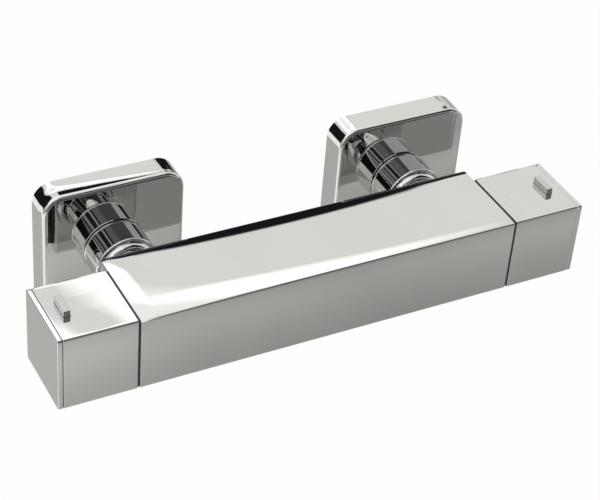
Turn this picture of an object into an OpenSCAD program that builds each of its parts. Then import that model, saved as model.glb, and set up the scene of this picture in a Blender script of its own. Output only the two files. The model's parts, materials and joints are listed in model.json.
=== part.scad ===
// Thermostatic bar shower valve with cube-shaped handles and square wall plates.
// The origin lies on the finished wall, midway between the two wall studs.
// X runs along the bar, -Y points out of the wall to the user, +Z points up.
// The hot supply and the flow handle are at -X, the cold supply and the temperature handle at +X.

/* [Bar] */
// Distance between the centres of the hot and the cold inlet
inlet_spacing = 150; // [148:0.5:153]
// Distance from the wall to the flat back of the body
back_to_wall = 40.8; // [39.6:0.2:47]
// Width and height of the bar's square section
bar_section = 38; // [38:0.5:42]
// Distance from the centre of an inlet to the body's end on its side
inlet_margin = 18.4; // [17:0.2:21]
// Depth of the body behind the long axis
body_back_depth = 28.4; // [28:0.2:34]
// Rounding of the long front edges
front_edge_radius = 0.8; // [0.4:0.1:1.5]
// Rounding of the long back edges
back_edge_radius = 3; // [1:0.5:4]
// Rounding of the upright back corners at the body's ends
end_edge_radius = 1.2; // [0.4:0.2:2]

/* [Handles] */
// Length of each handle shell along the bar
handle_length = 33.9; // [32.5:0.1:38]
// Open joint between the body and each handle
joint_gap = 1.2; // [1:0.1:1.6]
// Wall of the handle shells
handle_wall = 2.2; // [1.8:0.1:2.4]
// Thickness of each end cap plate
cap_thickness = 2.3; // [1.6:0.1:4]
// Fine joint between a handle shell and its end cap
cap_gap = 0.2; // [0.1:0.05:0.4]

/* [Buttons] */
// Length of a button from front to back
button_length = 11.3; // [9:0.1:13]
// Width of a button along the bar
button_width = 3.3; // [2.8:0.1:4.2]
// Height of a button above its handle
button_height = 3; // [2.4:0.1:3.6]
// Travel of a button when it is pressed
button_travel = 2; // [1.2:0.1:2.2]
// Distance from the handle's outer end to the button's middle
button_setback = 7.2; // [6.8:0.1:8]
// Distance that the button's middle lies behind the long axis
button_shift = 0.8; // [0:0.1:1]

/* [Wall plates] */
// Width and height of a wall plate
plate_size = 69; // [62:0.5:78]
// Depth of a wall plate
plate_depth = 13.9; // [13:0.1:16]
// Rounding of a wall plate's corners, seen from the front
plate_corner_radius = 9.5; // [5:0.5:14]
// Rounding of a wall plate's front edge
plate_edge_radius = 1.8; // [0.6:0.1:3]
// Sheet thickness of a wall plate
plate_wall = 1.3; // [1:0.1:2]

/* [Inlets] */
// Radius of the wall stud's half-inch male thread
stud_radius = 10.48; // [10.4:0.01:10.5]
// Length of the wall stud behind the wall face
stud_length = 16; // [12:0.5:24]
// Distance that the wall studs lie below the bar's axis
stud_drop = 6; // [2:0.5:8]
// Radius of the union's three-quarter-inch male thread
union_radius = 13.22; // [13.1:0.01:13.25]
// Radius of the smooth union nut
nut_radius = 15; // [15:0.1:17]
// Travel of a check valve's poppet
poppet_travel = 2.5; // [1.5:0.1:2.8]

/* [Outlet] */
// Radius of the hose outlet's half-inch male thread
outlet_radius = 10.48; // [10.4:0.01:10.5]
// Length of the hose outlet's thread
outlet_length = 12; // [9:0.5:18]
// Distance that the hose outlet lies behind the long axis
outlet_setback = 13; // [12:0.5:14]

/* [Thermostat] */
// Depth of the thermostat's cavity from the body's end
thermo_depth = 63.4; // [62:0.2:68]
// Radius of the thermostat's cavity
thermo_radius = 14.5; // [14.3:0.1:15]
// Gap that the cold seat leaves at the set temperature
hot_margin = 0.4; // [0.35:0.05:0.6]
// Gap that the hot seat leaves at the set temperature
cold_margin = 1.1; // [1:0.05:1.4]

/* [Flow control] */
// Depth of the flow control's cavity from the body's end
flow_depth = 37.4; // [36:0.2:42]
// Radius of the flow control's cavity
flow_radius = 13; // [12.8:0.1:13.4]
// Thickness of each ceramic disc
disc_thickness = 3; // [2.4:0.1:3.4]

/* [Hidden] */
// Roundness of the previews
$fn = 64;
// Overrun of every cut past the face that it opens
overrun = 1;
// Play between pieces that are fixed to each other
seat_gap = 0.05;
// Radial play of a shaft in its bore
running_gap = 0.05;
// Play between faces that slide on each other
face_gap = 0.03;

// Sides of the bar
hot = -1;
cold = 1;
flow_side = -1;
temperature_side = 1;

// The bar, measured outwards from its middle
half_section = bar_section / 2;
half_inlets = inlet_spacing / 2;
body_end = half_inlets + inlet_margin;
body_length = 2 * body_end;
handle_start = body_end + joint_gap;
handle_end = handle_start + handle_length;
cap_start = handle_end + cap_gap;
bar_height = stud_drop;
bar_to_wall = back_to_wall + body_back_depth;

// Waterways of the body
mixed_radius = 7;
hot_channel_radius = 4.8;
port_radius = 4.2;
outlet_channel_radius = 4;
outlet_channel_setback = 8;
outlet_channel_wall = 2.2;
outlet_channel_drop = half_section - outlet_channel_wall - outlet_channel_radius;
spigot_radius = 9.6;
spigot_depth = 6.6;
channel_back_wall = 3;
hot_channel_depth = body_back_depth - channel_back_wall - hot_channel_radius;

// Hose outlet
outlet_spigot_radius = 9.4;
outlet_spigot_depth = 5;
outlet_pocket_depth = 7.4;
outlet_bore_radius = 6.5;
outlet_flange_radius = 12;
outlet_flange_thickness = 2;
thread_chamfer = 0.8;

// Inlet line, measured from the wall
nut_clearance = 0.3;
nut_start = plate_depth + nut_clearance;
union_grip = 10.1;
union_end = plate_depth + union_grip;
union_bore_radius = 9.5;
stud_bore_radius = 7.5;
stud_overlap = 3;
collar_hex_radius = 17;
collar_hex_start = 3;
collar_hex_end = 9;
washer_thickness = 2.5;
washer_radius = 12.9;
washer_bore_radius = 7;
screen_thickness = 0.6;
screen_wire = 0.6;
screen_pitch = 2.2;
screen_count = 7;
tail_collar_radius = 12.9;
tail_collar_thickness = 2.4;
tail_collar_start = union_end + washer_thickness;
nut_shoulder = tail_collar_start + tail_collar_thickness;
nut_front_wall = 3.9;
nut_rim_length = 0.7;
nut_dome_radius = 2.8;
nut_dome_inset = 0.7;
nut_back_edge = 0.4;
tail_neck_radius = 10.6;
tail_end = back_to_wall + spigot_depth;
tail_bore_radius = 5.4;
tail_ring_wire = 0.9;
tail_ring_setback = 3;

// Plate seal
seal_width = 4;
seal_thickness = 2.5;

// Check valve, measured from the wall
check_radius = 6.9;
check_wall = 0.9;
check_start = tail_collar_start;
check_length = 12.6;
check_end = check_start + check_length;
check_seat_radius = 3.6;
check_seat_thickness = 1.4;
poppet_radius = 4.6;
poppet_thickness = 1.5;
poppet_stem_radius = 1.5;
poppet_start = check_start + check_seat_thickness + face_gap;
poppet_stem_end = check_end - poppet_travel - face_gap;
spider_hub_radius = 2.7;
spider_setback = 4;
spider_start = check_end - spider_setback;
spider_rib_width = 1.4;
spider_rib_count = 3;
check_spring_radius = 3.1;
check_spring_wire = 0.3;
check_spring_turns = 3;

// Handle ends of both spindles, measured outwards from the bar's middle
boss_radius = 9;
boss_length = 10.1;
boss_end = body_end + boss_length;
spindle_radius = 4;
spindle_ring_wire = 0.72;
spindle_ring_radius = spindle_radius + running_gap - face_gap - spindle_ring_wire;
spindle_ring_first = 2.2;
spindle_ring_pitch = 3;
spindle_ring_count = 2;
ring_groove_play = 0.1;
clip_play = 0.5;
clip_start = boss_end + clip_play;
clip_thickness = 1;
clip_groove_depth = 0.7;
clip_radius = 5.6;
clip_mouth = 3;
web_thickness = 3;
spindle_grip = 3.6;
spindle_end_play = 0.4;
adapter_slack = 0.2;
adapter_start = clip_start + clip_thickness + adapter_slack;
spindle_end = clip_start + clip_thickness + spindle_grip;
web_start = spindle_end + spindle_end_play;
web_end = web_start + web_thickness;
flat_half = 3.2;
flat_start = adapter_start + adapter_slack;
tapped_radius = 1.95;
tapped_depth = 9;
hub_radius = 10.8;
hub_length = 4.6;
hub_hex_radius = 8;
adapter_play = 0.05;

// Handle screw
screw_radius = 1.9;
screw_length = 9;
screw_head_radius = 3.8;
screw_head_height = 2.6;
screw_socket_radius = 1.7;
screw_socket_depth = 1.6;
screw_hole_play = 0.25;

// Stop rings and glide rings on the bosses
stop_ring_setback = 2.6;
stop_ring_start = body_end + stop_ring_setback;
stop_ring_length = 5;
stop_ring_wall = 1.5;
stop_lug_height = 0.8;
stop_lug_width = 3;
safety_lug_angle = 42;
eco_lug_angle = 85;
glide_ring_thickness = 1;
glide_ring_radius = flow_radius;

// End caps
cap_spigot_depth = 3;
cap_spigot_wall = 1.6;
cap_spigot_play = 0.1;

// Button sliders inside the handles
button_play = 0.15;
slider_thickness = 2;
slider_width = 10;
slider_play = 0.2;
slider_top = half_section - handle_wall - slider_play;
slider_bottom = slider_top - slider_thickness;
catch_setback = 0.5;
slider_start = stop_ring_start + catch_setback;
slider_overhang = 1.4;
catch_depth = 1;
catch_length = 4;
button_middle = handle_end - button_setback;
slider_end = button_middle + button_width / 2 + slider_overhang;
shelf_thickness = 1.6;
button_spring_length = 7;
button_spring_radius = 2.2;
button_spring_wire = 0.3;
button_spring_turns = 5;
shelf_top = slider_bottom - button_spring_length;
shelf_width = 8;

// Thermostat, measured outwards from the bar's middle
thermo_floor = body_end - thermo_depth;
cold_seat_setback = 2.5;
cold_seat = half_inlets - cold_seat_setback;
shuttle_length = 16;
shuttle_out = cold_seat - hot_margin;
shuttle_in = shuttle_out - shuttle_length;
hot_seat = shuttle_in - cold_margin;
window_length = 5;
window_width = 9;
window_count = 4;
cold_port = cold_seat - window_length / 2;
hot_port = hot_seat + window_length / 2;
housing_end = half_inlets + window_length;
housing_floor_thickness = 2;
housing_outlet_radius = 6.2;
housing_bore_radius = 10.5;
hot_chamber_radius = 8.8;
annulus_radius = 12.4;
annulus_run = 5;
land_half = 2.6;
land_middle = (hot_seat + cold_seat) / 2;
body_ring_wire = 0.9;
body_ring_pitch_radius = thermo_radius - seat_gap - body_ring_wire;
inner_ring_setback = 3;
gland_ring_setback = 7;
flow_ring_setback = 9;

// Mixing shuttle with its wax element
shuttle_wall = 1.5;
shuttle_web_thickness = 2.6;
shuttle_web_start = (shuttle_in + shuttle_out - shuttle_web_thickness) / 2;
shuttle_web_end = shuttle_web_start + shuttle_web_thickness;
shuttle_hole_radius = 1.7;
shuttle_hole_circle = 6.7;
shuttle_hole_count = 6;
shuttle_ring_wire = 0.7;
element_radius = 4.2;
element_inner_length = 24;
element_flange_radius = 4.9;
element_flange_thickness = 1.5;
element_nose_length = 2;
piston_radius = 1.6;
element_nose_end = shuttle_web_end + element_flange_thickness + element_nose_length;
shuttle_spring_radius = 7.2;
shuttle_spring_wire = 0.7;
shuttle_spring_turns = 8;

// Adjusting nut with the overload cup and spring
nut_hex_radius = 8;
nut_hex_play = 0.2;
nut_lip_thickness = 1.3;
nut_lip_bore = 3.4;
nut_setback = 1.2;
nut_inner_start = cold_seat + nut_setback;
nut_well_radius = 5.2;
nut_well_length = 10.4;
nut_thread_length = 5;
nut_well_start = nut_inner_start + nut_lip_thickness;
nut_well_end = nut_well_start + nut_well_length;
nut_outer_end = nut_well_end + nut_thread_length;
cup_radius = 4.7;
cup_thickness = 1.6;
cup_rim = 1;
cup_rim_height = 1;
overload_spring_radius = 3.1;
overload_spring_wire = 0.4;
overload_spring_turns = 5;
thread_core_radius = 3.4;
spindle_flange_radius = 6.4;
spindle_flange_thickness = 2;
spindle_flange_play = 0.4;
spindle_flange_start = nut_outer_end + hot_margin + spindle_flange_play;
spindle_flange_end = spindle_flange_start + spindle_flange_thickness;
thread_start = nut_well_end + hot_margin + cold_margin / 2;
gland_shoulder = spindle_flange_end + face_gap;

// Flow control, measured outwards from the bar's middle
flow_floor = body_end - flow_depth;
base_seal_thickness = 2;
flow_step = 2;
chamber_radius = flow_radius - flow_step;
fixed_disc_start = flow_floor + base_seal_thickness;
moving_disc_start = fixed_disc_start + disc_thickness + face_gap;
driver_start = moving_disc_start + disc_thickness + face_gap;
driver_thickness = 3;
driver_width = 6;
cup_wall = 1.45;
cup_bore_radius = chamber_radius - seat_gap - cup_wall;
disc_play = 0.2;
disc_radius = cup_bore_radius - disc_play;
disc_rim = 1.9;
disc_port_inner = 2.2;
disc_port_outer = disc_radius - disc_rim;
disc_port_half_angle = 40;
base_seal_bore = disc_port_outer;
cup_shoulder = driver_start + driver_thickness + face_gap;
headpart_neck_inset = 1.8;
headpart_neck_radius = flow_radius - headpart_neck_inset;
headpart_neck_run = 7;
chamber_end = driver_start;
neck_end = cup_shoulder + headpart_neck_run;
lug_width = 2.8;
lug_depth = 1.3;
lug_height = 2;
lug_play = 0.1;
flow_port_width = 7;

// Places its children at the bar's axis
module at_bar() {
    translate([0, -bar_to_wall, bar_height])
        children();
}

// Places its children on one half of the bar, with X pointing outwards
module on_side(side) {
    at_bar()
        mirror([side < 0 ? 1 : 0, 0, 0])
            children();
}

// Places turned pieces on one half of the bar, with their Z pointing outwards
module turned(side) {
    on_side(side)
        rotate([0, 90, 0])
            children();
}

// Places turned pieces on one inlet, with their Z pointing out of the wall
module at_inlet(side) {
    translate([side * half_inlets, 0, bar_height])
        rotate([90, 0, 0])
            children();
}

// Turned ring between two heights
module ring(outer, inner, from, to) {
    rotate_extrude()
        translate([inner, from])
            square([outer - inner, to - from]);
}

// Round ring of round wire, with its middle at the given height
module o_ring(middle_radius, wire, height) {
    rotate_extrude()
        translate([middle_radius, height])
            circle(wire);
}

// Groove around a shaft or a land for a round ring
module ring_groove(middle_radius, wire, height, outer) {
    reach = wire + ring_groove_play;
    ring(outer + overrun, middle_radius - wire - face_gap, height - reach, height + reach);
}

// Strip with one rounding at its low corners and another at its high corners
module rounded_strip(width, low, high, low_radius, high_radius) {
    translate([-width / 2, low + low_radius])
        square([width, high - low - low_radius - high_radius]);
    translate([-width / 2 + low_radius, low])
        square([width - 2 * low_radius, low_radius]);
    translate([-width / 2 + high_radius, high - high_radius])
        square([width - 2 * high_radius, high_radius]);
    for (edge = [-1, 1]) {
        translate([edge * (width / 2 - low_radius), low + low_radius])
            circle(low_radius);
        translate([edge * (width / 2 - high_radius), high - high_radius])
            circle(high_radius);
    }
}

// Square with rounded corners
module rounded_square(width, radius) {
    rounded_strip(width, -width / 2, width / 2, radius, radius);
}

// Prism of the bar's rounded section between two distances along the bar
module bar_prism(width, radius, from, to) {
    translate([from, 0, 0])
        rotate([0, 90, 0])
            linear_extrude(to - from)
                rounded_square(width, radius);
}

// Block between two low and high corners
module block(low, high) {
    translate(low)
        cube(high - low);
}

// Coil springs, each one unbroken tube of eight rings a turn and six sides
coil_steps = 8;
coil_sides = 6;

function coil_path(radius, wire, from, to, turns) =
    let (
        low = from + wire + seat_gap,
        high = to - wire - seat_gap,
        steps = turns * coil_steps
    )
    [
        for (i = [0 : steps])
            let (turn = 360 * i / coil_steps)
            [radius * cos(turn), radius * sin(turn), low + (high - low) * i / steps]
    ];

function coil_gap(path, wire) =
    min([
        for (i = [0 : len(path) - coil_steps / 2 - 1])
            for (j = [i + coil_steps / 2 : len(path) - 1])
                norm(path[i] - path[j])
    ]) - 2 * wire;

module coil_spring(label, radius, wire, from, to, turns) {
    path = coil_path(radius, wire, from, to, turns);
    count = len(path);
    echo(spring = label, least_gap = coil_gap(path, wire));
    points = [
        for (i = [0 : count - 1])
            let (
                turn = 360 * i / coil_steps,
                out = [cos(turn), sin(turn), 0]
            )
            for (k = [0 : coil_sides - 1])
                let (angle = 360 * k / coil_sides)
                path[i] + wire * (cos(angle) * out + sin(angle) * [0, 0, 1])
    ];
    walls = [
        for (i = [0 : count - 2])
            for (k = [0 : coil_sides - 1])
                let (
                    next = (k + 1) % coil_sides,
                    a = i * coil_sides + k,
                    b = i * coil_sides + next,
                    c = a + coil_sides,
                    d = b + coil_sides
                )
                each [[a, c, b], [b, c, d]]
    ];
    first_end = [for (k = [1 : coil_sides - 2]) [0, k, k + 1]];
    last = (count - 1) * coil_sides;
    last_end = [for (k = [1 : coil_sides - 2]) [last, last + k + 1, last + k]];
    polyhedron(points, concat(walls, first_end, last_end));
}

// Middle body with its waterways
module valve_body() {
    color("gainsboro")
        at_bar()
            difference() {
                body_block();
                turned_cavities();
                waterways();
            }
}

module body_block() {
    intersection() {
        rotate([0, 90, 0])
            linear_extrude(body_length + 2 * overrun, center = true)
                rounded_strip(bar_section, -half_section, body_back_depth,
                              front_edge_radius, back_edge_radius);
        linear_extrude(bar_section + 2 * overrun, center = true)
            rounded_strip(body_length, -half_section - 2 * overrun, body_back_depth,
                          overrun, end_edge_radius);
    }
}

module turned_cavities() {
    rotate([0, 90, 0]) {
        ring(thermo_radius, 0, thermo_floor, body_end + overrun);
        ring(mixed_radius, 0, -flow_floor - overrun, thermo_floor + overrun);
        ring(chamber_radius, 0, -chamber_end - overrun, -flow_floor);
        ring(flow_radius, 0, -body_end - overrun, -chamber_end);
    }
}

module waterways() {
    for (side = [hot, cold])
        translate([side * half_inlets, body_back_depth + overrun, 0])
            rotate([90, 0, 0])
                cylinder(spigot_depth + overrun, r = spigot_radius + seat_gap);
    translate([-half_inlets, hot_channel_depth, 0])
        rotate([0, 90, 0])
            cylinder(half_inlets + hot_port, r = hot_channel_radius);
    for (port = [hot_port, cold_port])
        translate([port, hot_channel_depth + port_radius, 0])
            rotate([90, 0, 0])
                cylinder(hot_channel_depth, r = port_radius);
    translate([-neck_end, outlet_channel_setback, -outlet_channel_drop])
        rotate([0, 90, 0])
            cylinder(neck_end, r = outlet_channel_radius);
    translate([0, outlet_setback, -half_section - overrun])
        cylinder(outlet_pocket_depth + overrun, r = outlet_spigot_radius + seat_gap);
}

// Male nipple that the shower hose screws on
module outlet_nipple() {
    top = -half_section + outlet_spigot_depth;
    flange_bottom = -half_section - outlet_flange_thickness;
    bottom = flange_bottom - outlet_length;
    color("silver")
        at_bar()
            translate([0, outlet_setback, 0])
                difference() {
                    union() {
                        ring(outlet_spigot_radius, 0, -half_section, top);
                        ring(outlet_flange_radius, 0, flange_bottom, -half_section);
                        ring(outlet_radius, 0, bottom + thread_chamfer, flange_bottom);
                        translate([0, 0, bottom])
                            cylinder(thread_chamfer, outlet_radius - thread_chamfer, outlet_radius);
                    }
                    ring(outlet_bore_radius, 0, bottom - overrun, top + overrun);
                }
}

// Eccentric union between the wall pipe and the valve's union nut
module eccentric_union(side) {
    color("goldenrod")
        at_inlet(side)
            difference() {
                union() {
                    translate([0, -stud_drop, 0]) {
                        ring(stud_radius, 0, -stud_length + thread_chamfer, collar_hex_end);
                        translate([0, 0, -stud_length])
                            cylinder(thread_chamfer, stud_radius - thread_chamfer, stud_radius);
                    }
                    translate([0, -stud_drop / 2, collar_hex_start])
                        cylinder(collar_hex_end - collar_hex_start, r = collar_hex_radius, $fn = 6);
                    ring(union_radius, 0, collar_hex_start, union_end);
                }
                translate([0, -stud_drop, 0])
                    ring(stud_bore_radius, 0, -stud_length - overrun, collar_hex_start + stud_overlap);
                ring(union_bore_radius, 0, collar_hex_start + stud_overlap / 2, union_end + overrun);
            }
}

module hot_union() {
    eccentric_union(hot);
}

module cold_union() {
    eccentric_union(cold);
}

// Hollow square plate that hides the wall connection
module wall_plate(side) {
    color("whitesmoke")
        at_inlet(side)
            difference() {
                plate_shell(plate_size, plate_corner_radius, plate_depth, plate_edge_radius);
                translate([0, 0, -overrun])
                    linear_extrude(plate_depth - plate_wall + overrun)
                        rounded_square(plate_size - 2 * plate_wall, plate_corner_radius - plate_wall);
                ring(union_radius + plate_wall / 2, 0, 0, plate_depth + overrun);
            }
}

module plate_shell(size, corner, depth, edge) {
    intersection() {
        linear_extrude(depth + overrun)
            rounded_square(size, corner);
        plate_side(size, depth, edge);
        rotate([0, 0, 90])
            plate_side(size, depth, edge);
    }
}

module plate_side(size, depth, edge) {
    rotate([90, 0, 0])
        linear_extrude(size + 2 * overrun, center = true)
            rounded_strip(size, -overrun, depth, overrun / 2, edge);
}

module hot_wall_plate() {
    wall_plate(hot);
}

module cold_wall_plate() {
    wall_plate(cold);
}

// Foam frame that seals a wall plate against the tiles
module plate_seal(side) {
    inner = plate_size - 2 * plate_wall - 2 * seat_gap;
    radius = plate_corner_radius - plate_wall;
    color("dimgray")
        at_inlet(side)
            linear_extrude(seal_thickness)
                difference() {
                    rounded_square(inner, radius);
                    rounded_square(inner - 2 * seal_width, radius / 2);
                }
}

module hot_plate_seal() {
    plate_seal(hot);
}

module cold_plate_seal() {
    plate_seal(cold);
}

// Smooth union nut with a rim and a domed front
module union_nut(side) {
    front = nut_shoulder + nut_front_wall;
    rim = nut_shoulder + nut_rim_length;
    color("gainsboro")
        at_inlet(side)
            difference() {
                union() {
                    ring(nut_radius, 0, nut_start, rim - nut_back_edge);
                    translate([0, 0, rim - nut_back_edge])
                        cylinder(nut_back_edge, nut_radius, nut_radius - nut_back_edge);
                    rotate_extrude()
                        intersection() {
                            translate([0, nut_start])
                                square([nut_radius, front - nut_start]);
                            rounded_strip(2 * (nut_radius - nut_dome_inset), nut_start, front,
                                          nut_back_edge, nut_dome_radius);
                        }
                }
                ring(union_radius + running_gap, 0, nut_start - overrun, nut_shoulder);
                ring(tail_neck_radius + seat_gap, 0, nut_start, front + overrun);
            }
}

module hot_union_nut() {
    union_nut(hot);
}

module cold_union_nut() {
    union_nut(cold);
}

// Sealing washer with a strainer screen
module filter_washer(side) {
    screen_start = union_end + (washer_thickness - screen_thickness) / 2;
    reach = washer_bore_radius + screen_wire;
    color("black")
        at_inlet(side) {
            ring(washer_radius, washer_bore_radius, union_end, tail_collar_start);
            intersection() {
                ring(reach, 0, screen_start, screen_start + screen_thickness);
                union()
                    for (turn = [0, 90])
                        rotate([0, 0, turn])
                            for (i = [0 : screen_count - 1])
                                translate([(i - (screen_count - 1) / 2) * screen_pitch - screen_wire / 2,
                                           -washer_radius, screen_start])
                                    cube([screen_wire, 2 * washer_radius, screen_thickness]);
            }
        }
}

module hot_filter_washer() {
    filter_washer(hot);
}

module cold_filter_washer() {
    filter_washer(cold);
}

// Flanged tail that the union nut draws against the union
module inlet_tail(side) {
    ring_height = tail_end - tail_ring_setback;
    ring_middle = spigot_radius - tail_ring_wire;
    color("goldenrod")
        at_inlet(side)
            difference() {
                union() {
                    ring(tail_collar_radius, 0, tail_collar_start, nut_shoulder);
                    ring(tail_neck_radius, 0, tail_collar_start, back_to_wall);
                    ring(spigot_radius, 0, back_to_wall, tail_end);
                }
                ring(check_radius + seat_gap, 0, tail_collar_start - overrun, check_end);
                ring(tail_bore_radius, 0, check_end - overrun, tail_end + overrun);
                ring_groove(ring_middle, tail_ring_wire, ring_height, spigot_radius);
            }
}

module hot_inlet_tail() {
    inlet_tail(hot);
}

module cold_inlet_tail() {
    inlet_tail(cold);
}

module inlet_tail_rings() {
    color("black")
        for (side = [hot, cold])
            at_inlet(side)
                o_ring(spigot_radius - tail_ring_wire, tail_ring_wire, tail_end - tail_ring_setback);
}

// Check valve cage with its seat and the spider that guides the stem
module check_body(side) {
    inner = check_radius - check_wall;
    color("white")
        at_inlet(side)
            difference() {
                union() {
                    ring(check_radius, inner, check_start, check_end - seat_gap);
                    ring(inner + check_wall / 2, check_seat_radius, check_start,
                         check_start + check_seat_thickness);
                    ring(spider_hub_radius, 0, spider_start, check_end - poppet_travel);
                    for (i = [0 : spider_rib_count - 1])
                        rotate([0, 0, 360 * i / spider_rib_count])
                            translate([0, -spider_rib_width / 2, spider_start])
                                cube([inner + check_wall / 2, spider_rib_width,
                                      check_end - poppet_travel - spider_start]);
                }
                ring(poppet_stem_radius + running_gap, 0, spider_start - overrun, check_end + overrun);
            }
}

module hot_check_body() {
    check_body(hot);
}

module cold_check_body() {
    check_body(cold);
}

// Poppet that the supply lifts off its seat
module check_poppet(side) {
    color("dodgerblue")
        at_inlet(side) {
            ring(poppet_radius, 0, poppet_start, poppet_start + poppet_thickness);
            ring(poppet_stem_radius, 0, poppet_start, poppet_stem_end);
        }
}

module hot_check_poppet() {
    check_poppet(hot);
}

module cold_check_poppet() {
    check_poppet(cold);
}

module check_spring(side) {
    color("slategray")
        at_inlet(side)
            coil_spring("check valve", check_spring_radius, check_spring_wire,
                        poppet_start + poppet_thickness, spider_start, check_spring_turns);
}

module hot_check_spring() {
    check_spring(hot);
}

module cold_check_spring() {
    check_spring(cold);
}

// Headpart of the flow control, with the cup for the discs and the boss for the stop ring
module flow_headpart() {
    ring_height = body_end - flow_ring_setback;
    ring_middle = flow_radius - seat_gap - body_ring_wire;
    color("goldenrod")
        turned(flow_side)
            difference() {
                union() {
                    ring(chamber_radius - seat_gap, 0, fixed_disc_start, chamber_end);
                    ring(headpart_neck_radius, 0, chamber_end, neck_end);
                    ring(flow_radius - seat_gap, 0, neck_end, body_end);
                    ring(boss_radius, 0, body_end, boss_end);
                }
                ring(cup_bore_radius, 0, fixed_disc_start - overrun, cup_shoulder);
                ring(spindle_radius + running_gap, 0, cup_shoulder - overrun, boss_end + overrun);
                ring_groove(ring_middle, body_ring_wire, ring_height, flow_radius);
                for (turn = [0, 90])
                    rotate([0, 0, turn])
                        block([-flow_radius, -flow_port_width / 2, chamber_end + face_gap],
                              [flow_radius, flow_port_width / 2, cup_shoulder]);
            }
}

module flow_headpart_ring() {
    color("black")
        turned(flow_side)
            o_ring(flow_radius - seat_gap - body_ring_wire, body_ring_wire, body_end - flow_ring_setback);
}

module flow_base_seal() {
    color("black")
        turned(flow_side)
            ring(chamber_radius - seat_gap, base_seal_bore, flow_floor, fixed_disc_start);
}

// Two opposite sector ports of a ceramic disc
module disc_ports(from, to) {
    reach = 2 * disc_port_outer;
    side_reach = reach * tan(disc_port_half_angle);
    for (turn = [0, 180])
        rotate([0, 0, turn])
            intersection() {
                ring(disc_port_outer, disc_port_inner, from, to);
                translate([0, 0, from])
                    linear_extrude(to - from)
                        polygon([[0, 0], [reach, -side_reach], [reach, side_reach]]);
            }
}

// Blocks for the driver's lugs, or with some play for the notches that hold them
module rim_lugs(play, from, to) {
    for (turn = [0, 180])
        rotate([0, 0, turn])
            block([disc_radius - lug_depth - play, -lug_width / 2 - play, from],
                  [disc_radius + overrun, lug_width / 2 + play, to]);
}

module fixed_disc() {
    color("ivory")
        turned(flow_side)
            difference() {
                ring(disc_radius, 0, fixed_disc_start, fixed_disc_start + disc_thickness);
                disc_ports(fixed_disc_start - overrun, fixed_disc_start + disc_thickness + overrun);
            }
}

module moving_disc() {
    top = moving_disc_start + disc_thickness;
    color("ivory")
        turned(flow_side)
            difference() {
                ring(disc_radius, 0, moving_disc_start, top);
                rotate([0, 0, 90])
                    disc_ports(moving_disc_start - overrun, top + overrun);
                rim_lugs(lug_play, top - lug_height - lug_play, top + overrun);
            }
}

// Handle end of a spindle, with its ring grooves, clip groove, flats and tapped hole
module spindle_stem(from) {
    difference() {
        ring(spindle_radius, 0, from, spindle_end);
        for (i = [0 : spindle_ring_count - 1])
            ring_groove(spindle_ring_radius, spindle_ring_wire,
                        body_end + spindle_ring_first + i * spindle_ring_pitch, spindle_radius);
        ring(spindle_radius + overrun, spindle_radius - clip_groove_depth, clip_start,
             clip_start + clip_thickness);
        for (side = [-1, 1])
            translate([side * (flat_half + spindle_radius / 2), 0, flat_start + spindle_radius])
                cube([spindle_radius, 2 * spindle_radius + overrun, 2 * spindle_radius], center = true);
        ring(tapped_radius, 0, spindle_end - tapped_depth, spindle_end + overrun);
    }
}

module spindle_rings(side) {
    color("black")
        turned(side)
            for (i = [0 : spindle_ring_count - 1])
                o_ring(spindle_ring_radius, spindle_ring_wire,
                       body_end + spindle_ring_first + i * spindle_ring_pitch);
}

// Open clip that holds a spindle in its headpart
module spindle_clip(side) {
    end = clip_start + clip_thickness;
    color("slategray")
        turned(side)
            difference() {
                ring(clip_radius, spindle_radius - clip_groove_depth + seat_gap,
                     clip_start + face_gap, end - face_gap);
                block([0, -clip_mouth / 2, clip_start - overrun],
                      [clip_radius + overrun, clip_mouth / 2, end + overrun]);
            }
}

module flow_spindle() {
    disc_top = moving_disc_start + disc_thickness;
    color("goldenrod")
        turned(flow_side) {
            spindle_stem(driver_start);
            intersection() {
                ring(disc_radius - face_gap, 0, driver_start, driver_start + driver_thickness);
                block([-disc_radius, -driver_width / 2, driver_start],
                      [disc_radius, driver_width / 2, driver_start + driver_thickness]);
            }
            intersection() {
                ring(disc_radius - face_gap, 0, disc_top - lug_height, driver_start + driver_thickness);
                rim_lugs(0, disc_top - lug_height, driver_start + driver_thickness);
            }
        }
}

module flow_spindle_rings() {
    spindle_rings(flow_side);
}

module flow_spindle_clip() {
    spindle_clip(flow_side);
}

// Ring with the lug that limits the turn before the button is pressed
module stop_ring(side, lug_angle) {
    outer = boss_radius + stop_ring_wall;
    stop_end = stop_ring_start + stop_ring_length;
    color("darkorange")
        turned(side) {
            ring(outer, boss_radius + seat_gap, stop_ring_start, stop_end);
            rotate([0, 0, 180 + lug_angle])
                block([outer - stop_ring_wall / 2, -stop_lug_width / 2, stop_ring_start],
                      [outer + stop_lug_height, stop_lug_width / 2, stop_end]);
        }
}

module flow_stop_ring() {
    stop_ring(flow_side, eco_lug_angle);
}

// Thin ring that centres a handle in its joint with the body
module glide_ring(side) {
    color("black")
        turned(side)
            ring(glide_ring_radius, boss_radius + seat_gap, body_end, body_end + glide_ring_thickness);
}

module flow_glide_ring() {
    glide_ring(flow_side);
}

// Hexagonal insert that joins a spindle to its handle
module handle_adapter(side) {
    hole = spindle_radius + adapter_play;
    low = adapter_start - overrun;
    high = web_start + overrun;
    color("white")
        turned(side)
            difference() {
                translate([0, 0, adapter_start])
                    cylinder(web_start - adapter_start, r = hub_hex_radius, $fn = 6);
                intersection() {
                    ring(hole, 0, low, high);
                    block([-flat_half - adapter_play, -hole - overrun, low],
                          [flat_half + adapter_play, hole + overrun, high]);
                }
                ring(hole, 0, low, flat_start);
            }
}

module flow_adapter() {
    handle_adapter(flow_side);
}

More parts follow.
